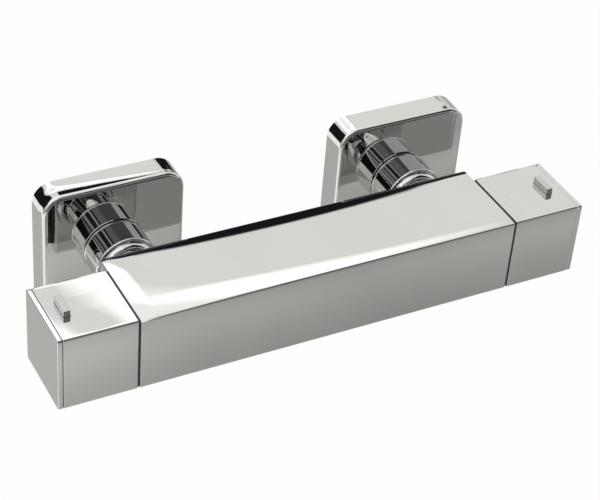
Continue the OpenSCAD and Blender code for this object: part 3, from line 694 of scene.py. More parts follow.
def join(piece: bpy.types.Object, parts: Sequence[bpy.types.Object]) -> None:
    """Puts other meshes into a piece's own mesh.

    Args:
        piece: the object that keeps its name.
        parts: objects that are taken in and removed.
    """
    shape = bmesh.new()
    for source in (piece, *parts):
        shape.from_mesh(source.data)
    shape.to_mesh(piece.data)
    shape.free()
    for part in parts:
        bpy.data.objects.remove(part)
    smooth(piece)


def sleeve(name: str, rings: Sequence[Sequence[Point]], angle: float = CRISP) -> bpy.types.Object:
    """Makes a piece of rings that close on themselves, so that a way leads through it.

    Args:
        name: its name.
        rings: its rings, around the outside and back through the way.
        angle: edges that turn more than this many degrees stay crisp.

    Returns:
        The object.
    """
    skin = Skin()
    skin.loft(rings, closed=True)
    return skin.build(name, angle)


def turned(profile: Sequence[Pair], place: Place, steps: int) -> list[list[Point]]:
    """Turns a profile around an axis.

    Args:
        profile: radius and height of each ring.
        place: gives a point from its two cross coordinates and its height.
        steps: points around the axis.

    Returns:
        The rings.
    """
    return [[place(u, v, height) for u, v in circle(radius, steps)] for radius, height in profile]


def peg(name: str, radius: float, start: Point, end: Point, steps: int = 64) -> bpy.types.Object:
    """Makes a closed round cutter between two points.

    Args:
        name: its name.
        radius: its radius.
        start: middle of one end.
        end: middle of the other end.
        steps: points around it.

    Returns:
        The object.
    """
    axis = (Vector(end) - Vector(start)).normalized()
    across = axis.orthogonal().normalized()
    up = axis.cross(across)
    skin = Skin()
    skin.solid([[tuple(Vector(middle) + radius * (cosine * across + sine * up))
                 for cosine, sine in circle(1.0, steps)] for middle in (start, end)])
    return skin.build(name)


def dress(piece: bpy.types.Object, slot: str, body: str, *nodes: str,
          finish: Finish | None = None) -> None:
    """Gives a piece its finish and its place in the frame.

    Args:
        piece: the object.
        slot: the record's material slot.
        body: the CAD body that it rides on.
        nodes: CAD nodes that it stands for.
        finish: the finish, if not the slot's own.
    """
    chosen = finish or FINISHES[slot]
    piece.data.materials.clear()
    piece.data.materials.append(chosen.material())
    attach(piece, body)
    if nodes:
        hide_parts(*nodes)
    LOG.info("%s: %s on %s", piece.name, chosen.name, body)


# Sub-assemblies


@dataclass(frozen=True)
class Bar:
    """Middle body: a polished casting, deeper than the handles, with its bores.

    Polishing has rolled its top face off along the edges: evenly in front, more towards the left
    corner and a little more to the right, with a bow at the back, and more at the left end than at
    the right. A reach is the width of such a strip, and a fall its depth at the edge.
    """

    back: float = 28.4
    front_radius: float = 0.8
    back_radius: float = 3.0
    end_bevel: float = 0.12
    skin_depth: float = 1.2
    top_reach: float = 12.3
    top_fall: float = 0.215
    corner_fall: float = 0.4
    corner_start: float = 35.0
    corner_length: float = 45.0
    right_start: float = 20.0
    right_slope: float = 0.0018
    left_reach: float = 8.0
    left_fall: float = 0.62
    right_fall: float = 0.04
    back_reach: float = 14.0
    back_fall: float = 0.45
    back_share: float = 1.25
    back_slope: float = 0.0028
    back_bow: float = 0.00008
    fine_start: float = 0.6
    fine_step: float = 1.1
    fine_count: int = 13
    coarse: tuple[float, ...] = (70.0, 60.0, 45.0, 30.0, 15.0, 0.0)
    bores: tuple[Pair, ...] = ((93.4, 14.5), (30.0, 14.5), (30.0, 7.0), (-56.0, 7.0), (-56.0, 11.0),
                               (-64.06, 11.0), (-64.06, 13.0), (-93.4, 13.0))
    inlet_pocket: Pair = (9.65, 6.6)
    outlet_pocket: Pair = (9.45, 11.6)

    def outline(self) -> Outline:
        """Returns the section across the bar: Y from the axis to the wall, then Z."""
        return Outline((-HALF, -HALF), (self.back, HALF),
                       (self.front_radius, self.back_radius, self.back_radius, self.front_radius),
                       tuple(round(k / 30, 4) for k in range(1, 30)))

    def place(self, x: float, y: float, z: float) -> Point:
        """Places a point of the section in the CAD frame, with the top face's roll-off.

        Args:
            x: place along the bar.
            y: distance from the bar's axis towards the wall.
            z: height above the bar's axis.

        Returns:
            The point.
        """
        if z > HALF - self.skin_depth:
            corner = max(0.0, -x - self.corner_start) / self.corner_length
            front = (self.top_fall + self.corner_fall * corner * corner
                     + self.right_slope * max(0.0, x - self.right_start))
            bow = self.back_share - self.back_slope * max(x, 0.0) - self.back_bow * x * x
            fall = roll_off(y + HALF, self.top_reach, front)
            fall += roll_off(self.back - y, self.back_reach, self.back_fall * bow)
            fall += roll_off(BODY_END - abs(x), self.left_reach,
                             self.left_fall if x < 0 else self.right_fall)
            z -= fall * min(1.0, (z - HALF + self.skin_depth) / self.skin_depth)
        return x, AXIS_Y + y, AXIS_Z + z

    def stations(self) -> list[Pair]:
        """Lists the stations along the bar, close together near its ends.

        Returns:
            The place and the inset of each.
        """
        ends = [(BODY_END - self.end_bevel * back, self.end_bevel * inset)
                for back, inset in quarter(4)]
        fine = [(BODY_END - self.fine_start - self.fine_step * k, 0.0)
                for k in range(1, self.fine_count + 1)]
        right = sorted(ends, reverse=True) + fine + [(x, 0.0) for x in self.coarse]
        return right + [(-x, inset) for x, inset in reversed(right[:-1])]

    def build_pockets(self) -> list[bpy.types.Object]:
        """Builds the cutters of the two inlets' pockets and of the outlet's.

        Returns:
            The cutters.
        """
        radius, depth = self.inlet_pocket
        back = AXIS_Y + self.back
        cutters = [peg("pocket", radius, (side.value * INLET, back + 1, AXIS_Z),
                       (side.value * INLET, back - depth, AXIS_Z)) for side in Side]
        radius, top = self.outlet_pocket
        y = AXIS_Y + OUTLET
        cutters.append(peg("pocket", radius, (0, y, AXIS_Z - HALF - 1), (0, y, AXIS_Z - top)))
        return cutters

    def build(self) -> None:
        """Builds the body with its two stepped bores and its three pockets."""
        outline = self.outline()
        rings = [[self.place(x, u, v) for u, v in outline.ring(inset)]
                 for x, inset in self.stations()]
        rings += [[(x, AXIS_Y + u, AXIS_Z + v) for u, v in outline.hole(radius)]
                  for x, radius in reversed(self.bores)]
        piece = sleeve("bar_body", rings)
        carve(piece, self.build_pockets())
        dress(piece, "chrome_body", "valve", "valve_body")


@dataclass(frozen=True)
class Handle:
    """One end of the bar: cube-shaped shell, end cap and push button.

    Starts, ends and spans along the bar are distances from its middle. The dish is the hollow of
    the polished top, and its deepest line lies dish_back behind the axis.
    """

    side: Side
    start: float = 94.6
    end: float = 128.5
    wall: float = 2.2
    radius: float = 0.8
    inner_radius: float = 0.3
    bevel: float = 0.12
    far_bevel: float = 0.22
    dish: float = 0.26
    dish_back: float = 8.0
    before_window: tuple[float, ...] = (95.5, 97.5, 100.0, 102.5, 105.0, 108.0, 111.0, 114.0, 117.0)
    after_window: tuple[float, ...] = (125.0, 127.3)
    cap_start: float = 128.7
    cap_end: float = 131.0
    cap_bevel: float = 0.5
    cap_inner_bevel: float = 0.25
    spigot: Pair = (15.1, 16.7)
    spigot_depth: float = 3.0
    web: Pair = (109.0, 112.0)
    screw_hole: float = 2.15
    hub: Pair = (8.05, 10.8)
    hub_start: float = 104.4
    button_middle: float = 121.3
    button_shift: float = 0.8
    button_size: Pair = (3.3, 11.3)
    button_radius: float = 0.35
    button_top: float = 22.0
    button_bevel: Pair = (0.3, 0.09)
    play: float = 0.15
    slider: Pair = (96.5, 124.35)
    slider_up: Pair = (14.6, 16.6)
    catch: float = 4.0
    notch_half: float = 5.2
    notch_bottom: float = 12.4
    shelf: Pair = (110.5, 125.3)
    shelf_up: Pair = (6.0, 7.6)

    @property
    def word(self) -> str:
        """The handle's duty, which starts its pieces' names."""
        return "flow" if self.side is Side.HOT else "temperature"

    @property
    def body(self) -> str:
        """The CAD body that turns with the handle."""
        return f"{self.word}_control"

    @property
    def button_word(self) -> str:
        """The button's duty."""
        return "eco" if self.side is Side.HOT else "safety"

    @property
    def window_half(self) -> float:
        """Half the width of the button's window, with the button's play."""
        return self.button_size[1] / 2 + self.play

    def at(self, x: float, y: float, z: float) -> Point:
        """Returns a point given outwards from the bar's middle in the CAD frame."""
        return self.side.value * x, AXIS_Y + y, AXIS_Z + z

    def square(self, half: float, radius: float) -> Outline:
        """Gives a square section, marked on top where the button's window is.

        Args:
            half: half its width.
            radius: radius of its corners.

        Returns:
            The section.
        """
        marks = (self.button_shift - self.window_half, self.button_shift + self.window_half)
        shares = (0.03, 0.09, 0.16, 0.23, 0.3, 0.44, 0.58, 0.72, 0.79, 0.86, 0.93, 0.97)
        return Outline((-half, -half), (half, half), (radius,) * 4, shares, marks, marked_side=2)

    def dished(self, x: float, y: float, z: float) -> Point:
        """Places a point of the shell, whose top is faintly hollow.

        Args:
            x: place outwards along the bar.
            y: distance from the bar's axis towards the wall.
            z: height above the bar's axis.

        Returns:
            The point in the CAD frame.
        """
        if z > HALF - TINY:
            along = (2 * x - self.start - self.end) / (self.end - self.start)
            across = (y - self.dish_back) / (HALF + self.dish_back)
            z -= self.dish * max(0.0, 1 - along ** 2) * max(0.0, 1 - across ** 2)
        return self.at(x, y, z)

    def block(self, skin: Skin, along: Pair, half: float, up: Pair, bevel: float = 0.2) -> None:
        """Adds a block below the button's window.

        Args:
            skin: the mesh that it goes into.
            along: its ends, outwards along the bar.
            half: half its width.
            up: its bottom and top from the bar's axis.
            bevel: its edges' bevel.
        """
        ends = sorted(self.side.value * x for x in along)
        skin.box((ends[0], AXIS_Y + self.button_shift - half, AXIS_Z + up[0]),
                 (ends[1], AXIS_Y + self.button_shift + half, AXIS_Z + up[1]), bevel)

    def square_frame(self, start: float, end: float, outer: Outline,
                     inner: Outline) -> list[list[Point]]:
        """Gives the rings of a square frame around the bar's axis.

        Args:
            start: its inner end, outwards along the bar.
            end: its outer end.
            outer: its outer section.
            inner: the section of its opening.

        Returns:
            Its four rings.
        """
        corners = ((start, outer), (end, outer), (end, inner), (start, inner))
        return [[self.at(x, u, v) for u, v in outline.ring()] for x, outline in corners]

    def shell_stations(self, window: Pair) -> list[Pair]:
        """Lists the stations along the shell.

        Args:
            window: the two ends of the button's window.

        Returns:
            The place and the inset of each.
        """
        rims = sorted(quarter(4))
        near = [(self.start + self.bevel * x, self.bevel * inset) for x, inset in rims]
        far = [(self.end - self.far_bevel * x, self.far_bevel * inset)
               for x, inset in reversed(rims)]
        middles = (*self.before_window, *window, *self.after_window)
        return near + [(x, 0.0) for x in middles] + far

    def build_shell(self) -> None:
        """Builds the shell with its window, web, hub and spring shelf."""
        outer = self.square(HALF, self.radius)
        inner = self.square(HALF - self.wall, self.inner_radius)
        reach = self.button_size[0] / 2
        window = (self.button_middle - reach - self.play, self.button_middle + reach + self.play)
        stations = self.shell_stations(window)
        skin = Skin()
        outside = [skin.ring([self.dished(x, u, v) for u, v in outer.ring(inset)])
                   for x, inset in stations]
        inside = [skin.ring([self.at(x, u, v) for u, v in inner.ring()]) for x, _ in stations]
        edge = [k for k, (u, v) in enumerate(outer.ring())
                if abs(v - HALF) < TINY and abs(u - self.button_shift) < self.window_half + TINY]
        for k, ((x, _), (after, _)) in enumerate(zip(stations, stations[1:])):
            skip = frozenset(edge[:-1]) if (x, after) == window else frozenset()
            skin.bridge(outside[k], outside[k + 1], skip)
            skin.bridge(inside[k], inside[k + 1], skip)
            if skip:
                for one, other in ((outside[k], inside[k]), (outside[k + 1], inside[k + 1])):
                    skin.faces += [[one[a], one[b], other[b], other[a]]
                                   for a, b in zip(edge, edge[1:])]
                skin.faces += [[outside[k][a], outside[k + 1][a], inside[k + 1][a], inside[k][a]]
                               for a in (edge[0], edge[-1])]
        skin.bridge(outside[0], inside[0])
        skin.bridge(outside[-1], inside[-1])
        shell = skin.build(f"{self.word}_handle_shell")
        join(shell, [self.build_web(), self.build_hub(), self.build_shelf()])
        dress(shell, "chrome_handle", self.body, f"{self.word}_handle")

    def build_web(self, overlap: float = 0.8) -> bpy.types.Object:
        """Builds the web that the handle's screw holds, notched for the slider.

        Args:
            overlap: how far it reaches into the shell's walls.

        Returns:
            The object.
        """
        near, far = self.web
        square = self.square(HALF - self.wall + overlap, self.inner_radius)
        web = sleeve("web", [[self.at(x, u, v) for u, v in ring] for x, ring in (
            (near, square.ring()), (far, square.ring()),
            (far, square.hole(self.screw_hole)), (near, square.hole(self.screw_hole)))])
        notch = Skin()
        top = HALF - self.wall + 0.02
        self.block(notch, (near - 1, far + 1), self.notch_half, (self.notch_bottom, top), 0.1)
        carve(web, [notch.build("notch")])
        return web

    def build_hub(self, overlap: float = 0.2) -> bpy.types.Object:
        """Builds the hub around the adapter.

        Args:
            overlap: how far it reaches into the web.

        Returns:
            The object.
        """
        bore, radius = self.hub
        end = self.web[0] + overlap
        profile = [(radius, self.hub_start), (radius, end), (bore, end), (bore, self.hub_start)]
        return sleeve("hub", turned(profile, lambda u, v, w: self.at(w, u, v), 72))

    def build_shelf(self, half: float = 4.0) -> bpy.types.Object:
        """Builds the shelf under the button's spring.

        Args:
            half: half its width.

        Returns:
            The object.
        """
        skin = Skin()
        self.block(skin, self.shelf, half, self.shelf_up)
        return skin.build("shelf")

    def build_cap(self) -> None:
        """Builds the end cap with its soft outer edge and its spigot, and the line behind it."""
        square = self.square(HALF, self.radius + 0.2)
        stations = [(self.cap_start, self.cap_inner_bevel),
                    (self.cap_start + self.cap_inner_bevel, 0.0)]
        stations += [(self.cap_end - self.cap_bevel * back, self.cap_bevel * inset)
                     for back, inset in quarter(6)]
        inner, outer = (self.square(half, self.inner_radius) for half in self.spigot)
        skin = Skin()
        skin.solid([[self.at(x, u, v) for u, v in square.ring(inset)] for x, inset in stations])
        skin.loft(self.square_frame(self.cap_start + 0.4, self.end - self.spigot_depth,
                                    outer, inner), closed=True)
        dress(skin.build(f"{self.word}_end_cap"), "chrome_cap", self.body, f"{self.word}_cap")
        # Painted shade: a black plate in the seam between the cap and the shell shows as its dark
        # line.
        self.build_liner("cap_joint_shade", (self.end - 0.05, self.cap_start + 0.05),
                         (HALF - 0.3, self.spigot[1] + 0.05), self.body)

    def build_button(self, half: float = 5.0) -> None:
        """Builds the push button with its slider and catch.

        Args:
            half: half the slider's width.
        """
        half_x, half_y = (size / 2 for size in self.button_size)
        radii = (self.button_radius,) * 4
        plan = Outline((-half_x, -half_y), (half_x, half_y), radii, (0.5,), arc=4)
        wide, fine = self.button_bevel
        low, top = self.slider_up[0], self.button_top
        levels = [(low, 0.0), (top - wide, 0.0), (top - fine, fine), (top, wide)]
        skin = Skin()
        skin.solid([[self.at(self.button_middle + u, self.button_shift + v, z)
                     for u, v in plan.ring(inset)] for z, inset in levels])
        self.block(skin, self.slider, half, self.slider_up)
        self.block(skin, (self.slider[0], self.slider[0] + self.catch), half,
                   (low - 1.0, low + 0.1))
        dress(skin.build(f"{self.button_word}_push_button"), "button_grey",
              f"{self.button_word}_push", f"{self.button_word}_button")

    def build_liner(self, name: str, along: Pair, halves: Pair, body: str) -> None:
        """Builds a thin black plate of painted shade that shows as the dark line of a joint.

        Args:
            name: last part of the piece's name.
            along: its ends, outwards along the bar.
            halves: half its width and half the width of its opening.
            body: the CAD body that it rides on.
        """
        outer, inner = (self.square(half, self.radius) for half in halves)
        piece = sleeve(f"{self.word}_{name}", self.square_frame(*along, outer, inner))
        dress(piece, "plastic_black", body)

    def build(self) -> None:
        """Builds the whole end, with the line between it and the body."""
        # Painted shade: a black plate in the gap between the body and the shell shows as its dark
        # line.
        self.build_liner("joint_shade_plate", (BODY_END + 0.02, self.start - 0.12),
                         (HALF - 0.35, 15.0), "valve")
        self.build_shell()
        self.build_cap()
        self.build_button()


@dataclass(frozen=True)
class Scale:
    """Temperature scale etched on the right handle beside its joint."""

    handle: Handle
    edge: float = 97.0
    long_tick: float = 3.2
    short_tick: float = 1.9
    width: float = 0.45
    proud: float = 0.008
    root: float = 0.05
    spread: float = 14.5
    ticks: int = 9
    gap: float = 2.6
    number: str = "38"
    number_size: float = 4.6
    number_out: float = 3.2
    number_thick: float = 0.02

    def on_top(self, x: float, y: float, lift: float) -> Point:
        """Returns a point on the handle's top face, lifted off it."""
        place = self.handle.dished(x, y, HALF)
        return place[0], place[1], place[2] + lift

    def build_ticks(self) -> None:
        """Builds the ticks, left out around the number."""
        corners = ((0, -1), (0.5, -1), (1, -1), (1, 1), (0.5, 1), (0, 1))
        skin = Skin()
        for k in range(self.ticks):
            y = self.spread * (2 * k / (self.ticks - 1) - 1)
            if abs(y) < self.gap:
                continue
            length = self.long_tick if k % 2 == 0 else self.short_tick
            skin.solid([[self.on_top(self.edge + a * length, y + b * self.width / 2, lift)
                         for a, b in corners] for lift in (-self.root, self.proud)])
        dress(skin.build("temperature_ticks"), "chrome_handle", self.handle.body, finish=ETCHED)

    def build_number(self) -> None:
        """Builds the number of the usual setting."""
        text = bpy.data.curves.new("temperature_number", "FONT")
        text.body = self.number
        text.size = self.number_size * MM
        text.align_x = text.align_y = "CENTER"
        text.extrude = self.number_thick * MM
        middle = self.on_top(self.edge + self.number_out, 0.0, self.proud - self.number_thick)
        lettering = link("temperature_number", text)
        lettering.location = Vector(middle) * MM
        graph = bpy.context.evaluated_depsgraph_get()
        data = bpy.data.meshes.new_from_object(lettering.evaluated_get(graph))
        data.transform(Matrix.Translation(lettering.location))
        bpy.data.objects.remove(lettering)
        piece = link("temperature_number", data)
        dress(piece, "chrome_handle", self.handle.body, finish=ETCHED)

    def build(self) -> None:
        """Builds the ticks and the number."""
        self.build_ticks()
        self.build_number()


@dataclass(frozen=True)
class Inlet:
    """One inlet: square wall plate and round union nut.

    The sides are heights above the wall with the inset there, which is smaller on the cold plate.
    The hot plate's top side falls away further, down to a line that turns across the plate.
    """

    side: Side
    half: float = 34.5
    corner: float = 9.5
    depth: float = 13.9
    edge: float = 1.8
    wall: float = 1.3
    hole: float = 13.87
    hole_bevel: float = 0.3
    face_fall: float = 0.04
    face_reach: float = 5.0
    sides: tuple[Pair, ...] = ((0.0, 0.0), (1.5, 0.03), (3.0, 0.05), (4.5, 0.07), (6.0, 0.10),
                               (7.0, 0.15), (8.0, 0.21), (8.8, 0.24), (9.4, 0.24), (10.1, 0.21),
                               (10.9, 0.16), (11.4, 0.13), (11.8, 0.11), (12.1, 0.10))
    cold_share: float = 0.12
    rise: float = 0.034
    drop: float = 0.075
    front_fall: float = 0.03
    turn: float = 9.4
    turn_slant: float = 2.4
    turn_width: float = 0.3
    nut_radius: float = 15.0
    nut_bore: Pair = (10.65, 13.27)
    dome: Pair = (11.5, 30.0)
    dome_size: Pair = (2.15, 2.8)

    @property
    def word(self) -> str:
        """The supply, which starts the pieces' names."""
        return self.side.name.lower()

    def at(self, u: float, v: float, out: float) -> Point:
        """Returns a point beside the inlet's middle, at a height above the wall."""
        return self.side.value * INLET + u, -out, AXIS_Z + v

    def square(self, half: float, radius: float) -> Outline:
        """Returns a square around the inlet, given half its width and its corners' radius."""
        return Outline((-half, -half), (half, half), (radius,) * 4,
                       tuple(round(k / 14, 4) for k in range(1, 14)), arc=10)

    def side_rings(self, outer: Outline) -> list[list[Point]]:
        """Gives the rings of the plate's sides and of its soft front edge.

        Args:
            outer: the plate's outline at the wall.

        Returns:
            The rings, from the wall to the front.
        """
        top, lip = self.depth - self.edge, self.sides[-1][1]
        share = 1.0 if self.side is Side.HOT else self.cold_share
        stations = [(out, lip * out / top + share * (inset - lip * out / top))
                    for out, inset in self.sides]
        for k in range(1, 8):
            angle = math.pi / 2 * k / 8
            stations.append((top + self.edge * math.sin(angle),
                             lip + self.edge * (1 - math.cos(angle))))
        return [[self.at(u, v - self.top_fall(u, v, out, inset), out) for u, v in outer.ring(inset)]
                for out, inset in stations]

    def build_plate(self) -> None:
        """Builds the plate: sides with a faint lip, soft edges, a flat face and a hollow back."""
        outer = self.square(self.half, self.corner)
        rim = outer.ring(self.sides[-1][1] + self.edge)
        hole = outer.hole(self.hole + self.hole_bevel)
        rings = self.side_rings(outer)
        for share in (0.0, 0.06, 0.14, 0.24, 0.36, 0.5, 0.66, 0.84, 1.0):
            between = [(u0 + (u1 - u0) * share, v0 + (v1 - v0) * share)
                       for (u0, v0), (u1, v1) in zip(rim, hole)]
            rings.append(self.face_ring(between))
        rings.append(self.face_ring(outer.hole(self.hole), self.hole_bevel))
        back = self.depth - self.wall
        inner = self.square(self.half - self.wall - 0.3, self.corner - self.wall)
        foot = self.square(self.half - self.wall, self.corner - self.wall)
        for ring, out in ((outer.hole(self.hole), back), (inner.ring(1.0), back),
                          (inner.ring(), back - 1.0), (foot.ring(), 0.0)):
            rings.append([self.at(u, v, out) for u, v in ring])
        piece = sleeve(f"{self.word}_plate", rings)
        dress(piece, "chrome_plate", "valve", f"{self.word}_wall_plate")

    def top_fall(self, u: float, v: float, out: float, inset: float) -> float:
        """Gives how much deeper the hot plate's top side lies than its other sides.

        Args:
            u: place across the plate.
            v: place up the plate.
            out: height above the wall.
            inset: how far this ring already lies inside the outline.

        Returns:
            The extra fall.
        """
        front = self.sides[-1][0]
        if self.side is Side.COLD or out >= front:
            return 0.0
        share = min(1.0, max(0.0, (v - self.half + self.corner) / (self.corner - 1.0)))
        turn = self.turn + self.turn_slant * u / self.half
        fall = self.front_fall + self.rise * (front - max(out, turn))
        if out < turn:
            fall = max(0.0, fall - self.drop * max(0.0, turn - self.turn_width - out))
        return share * (fall - inset)

    def face_ring(self, ring: Sequence[Pair], drop: float = 0.0) -> list[Point]:
        """Lays a ring on the plate's face, which rolls off towards its edges.

        Args:
            ring: the ring's points around the inlet's middle.
            drop: how far it is lowered.

        Returns:
            The ring in the CAD frame.
        """
        limit = self.half - self.sides[-1][1] - self.edge
        found = []
        for u, v in ring:
            fall = sum(roll_off(limit - abs(w), self.face_reach, self.face_fall) for w in (u, v))
            found.append(self.at(u, v, self.depth - fall - drop))
        return found

    def build_nut(self) -> None:
        """Builds the smooth nut with a fine bead at each end and its domed front."""
        radius, (narrow, wide) = self.nut_radius, self.nut_bore
        back_bead = [(wide, 14.2), (14.9, 14.2), (15.25, 14.33), (15.42, 14.65), (15.42, 14.9),
                     (15.3, 15.2), (15.1, 15.36), (radius, 15.4), (radius, 15.5)]
        front_bead = [(radius, 28.0), (radius, 28.1), (15.13, 28.17), (15.28, 28.4)]
        for k in range(7):
            angle = math.pi / 2 * k / 6
            front_bead.append((14.28 + math.cos(angle), 28.8 + math.sin(angle)))
        dome = [(13.75, 29.8), (13.7, 29.86)]
        for k in range(10):
            angle = math.pi / 2 * k / 9
            dome.append((self.dome[0] + self.dome_size[0] * math.cos(angle),
                         self.dome[1] + self.dome_size[1] * math.sin(angle)))
        bore = [(10.85, 32.8), (narrow, 32.6), (narrow, 28.9), (wide, 28.9)]
        profile = back_bead + front_bead + dome + bore
        piece = sleeve(f"{self.word}_nut", turned(profile, self.at, 128))
        dress(piece, "chrome_nut", "valve", f"{self.word}_union_nut")

    def build(self) -> None:
        """Builds the plate and the nut."""
        self.build_plate()
        self.build_nut()


@dataclass(frozen=True)
class Thread:
    """Pipe thread cut around an axis, fading in at its start and chamfered at its free end."""

    radius: float
    start: float
    end: float
    cut: float = 1.1
    pitch: float = 1.814
    flank: float = 0.42
    fade: float = 1.2
    chamfer: float = 0.8
    rows_a_turn: int = 8

    def rows(self) -> list[float]:
        """Returns the heights of the rings that shape the thread."""
        count = round(abs(self.end - self.start) / self.pitch * self.rows_a_turn)
        return [self.start + (self.end - self.start) * k / count for k in range(count + 1)]

    def reach(self, height: float, turn: float) -> float:
        """Gives the thread's radius at one place.

        Args:
            height: place along the axis.
            turn: angle around the axis, in turns.

        Returns:
            The radius there.
        """
        phase = (height / self.pitch + turn) % 1.0
        faded = min(1.0, abs(height - self.start) / self.fade)
        groove = max(0.0, 1.0 - abs(phase - 0.5) / self.flank) * faded
        taper = max(0.0, self.chamfer - abs(height - self.end))
        return self.radius - max(self.cut * groove, taper)

    def rings(self, place: Place, steps: int) -> list[list[Point]]:
        """Gives the thread's rings.

        Args:
            place: gives a point from its two cross coordinates and its height.
            steps: points around the axis.

        Returns:
            One ring for each height.
        """
        found = []
        for height in self.rows():
            ring = []
            for k in range(steps):
                radius, angle = self.reach(height, k / steps), 2 * math.pi * k / steps
                ring.append(place(radius * math.cos(angle), radius * math.sin(angle), height))
            found.append(ring)
        return found


@dataclass(frozen=True)
class Union:
    """Eccentric union of one inlet: wall stud, hexagon and threaded front end."""

    inlet: Inlet
    drop: float = 6.0
    stud: Thread = Thread(PIPE_THREAD, 1.5, -16.0)
    stud_bore: float = 7.5
    hexagon: Pair = (3.0, 9.0)
    hexagon_radius: float = 17.0
    hexagon_bore: float = 7.0
    turned_down: float = 15.6
    chamfer: float = 0.8
    overlap: float = 0.2
    front: Thread = Thread(13.22, 11.0, 24.0)
    front_bore: float = 9.5
    bore_bevel: float = 0.4
    steps: int = 72

    def ring(self, radius: float, height: float, drop: float) -> list[Point]:
        """Returns a round ring at a height above the wall and a drop below the inlet's middle."""
        return [self.inlet.at(u, v - drop, height) for u, v in circle(radius, self.steps)]

    def build_stud(self) -> bpy.types.Object:
        """Builds the threaded stud with its bore.

        Returns:
            The object.
        """
        root, end = self.hexagon[0] + self.overlap, self.stud.end
        rings = [self.ring(self.stud.radius, root, self.drop)]
        rings += self.stud.rings(lambda u, v, w: self.inlet.at(u, v - self.drop, w), self.steps)
        rings += [self.ring(self.stud_bore + self.bore_bevel, end, self.drop),
                  self.ring(self.stud_bore, end + self.bore_bevel, self.drop),
                  self.ring(self.stud_bore, root, self.drop)]
        return sleeve("stud", rings, ROUND_CRISP)

    def hexagon_ring(self, height: float, limit: float) -> list[Point]:
        """Gives a ring of the hexagon.

        Args:
            height: its height above the wall.
            limit: radius to which the corners are turned down.

        Returns:
            The ring.
        """
        sixth, drop = math.pi / 6, self.drop / 2
        ring = []
        for k in range(self.steps):
            angle = 2 * math.pi * k / self.steps
            flat = (self.hexagon_radius * math.cos(sixth)
                    / math.cos((angle + sixth) % (math.pi / 3) - sixth))
            radius = min(flat, limit)
            ring.append(self.inlet.at(radius * math.cos(angle), radius * math.sin(angle) - drop,
                                      height))
        return ring

    def build_hexagon(self) -> bpy.types.Object:
        """Builds the hexagon, turned down at its corners, with the way through it.

        Returns:
            The object.
        """
        low, high = self.hexagon
        levels = ((low, self.turned_down), (low + self.chamfer, self.hexagon_radius),
                  (high - self.chamfer, self.hexagon_radius), (high, self.turned_down))
        rings = [self.hexagon_ring(height, limit) for height, limit in levels]
        rings += [self.ring(self.hexagon_bore, height, self.drop / 2) for height in (high, low)]
        return sleeve("hexagon", rings)

    def build(self) -> None:
        """Builds the union from its threaded front end, its hexagon and its stud."""
        root, end = self.hexagon[1] - self.overlap, self.front.end
        rings = [self.ring(self.front.radius, root, 0.0)]
        rings += self.front.rings(self.inlet.at, self.steps)
        rings += [self.ring(self.front_bore + self.bore_bevel, end, 0.0),
                  self.ring(self.front_bore, end - self.bore_bevel, 0.0),
                  self.ring(self.front_bore, root, 0.0)]
        piece = sleeve(f"{self.inlet.word}_wall_union", rings, ROUND_CRISP)
        join(piece, [self.build_stud(), self.build_hexagon()])
        dress(piece, "brass", "valve", f"{self.inlet.word}_union")


@dataclass(frozen=True)
class HoseOutlet:
    """Male hose outlet under the body, with its cut thread. Heights are from the bar's axis."""

    thread: Thread = Thread(PIPE_THREAD, -21.3, -33.0)
    bore: float = 6.5
    bore_bevel: float = 0.4
    spigot: float = 9.4
    spigot_top: float = -14.0
    flange: float = 12.0
    flange_span: Pair = (-19.0, -21.0)
    flange_bevel: float = 0.3
    steps: int = 72

    def at(self, across: float, along: float, height: float) -> Point:
        """Returns a point beside the outlet's axis, at a height from the bar's axis."""
        return across, AXIS_Y + OUTLET + along, AXIS_Z + height

    def build(self) -> None:
        """Builds the nipple: spigot, flange, thread and bore."""
        (top, low), bevel, end = self.flange_span, self.flange_bevel, self.thread.end
        outside = [(self.spigot, self.spigot_top), (self.spigot, top), (self.flange - bevel, top),
                   (self.flange, top - bevel), (self.flange, low + bevel),
                   (self.flange - bevel, low), (self.thread.radius, low)]
        inside = [(self.bore + self.bore_bevel, end), (self.bore, end + self.bore_bevel),
                  (self.bore, self.spigot_top)]
        rings = turned(outside, self.at, self.steps) + self.thread.rings(self.at, self.steps)
        piece = sleeve("hose_nipple", rings + turned(inside, self.at, self.steps), ROUND_CRISP)
        dress(piece, "chrome_outlet", "valve", "outlet_nipple")


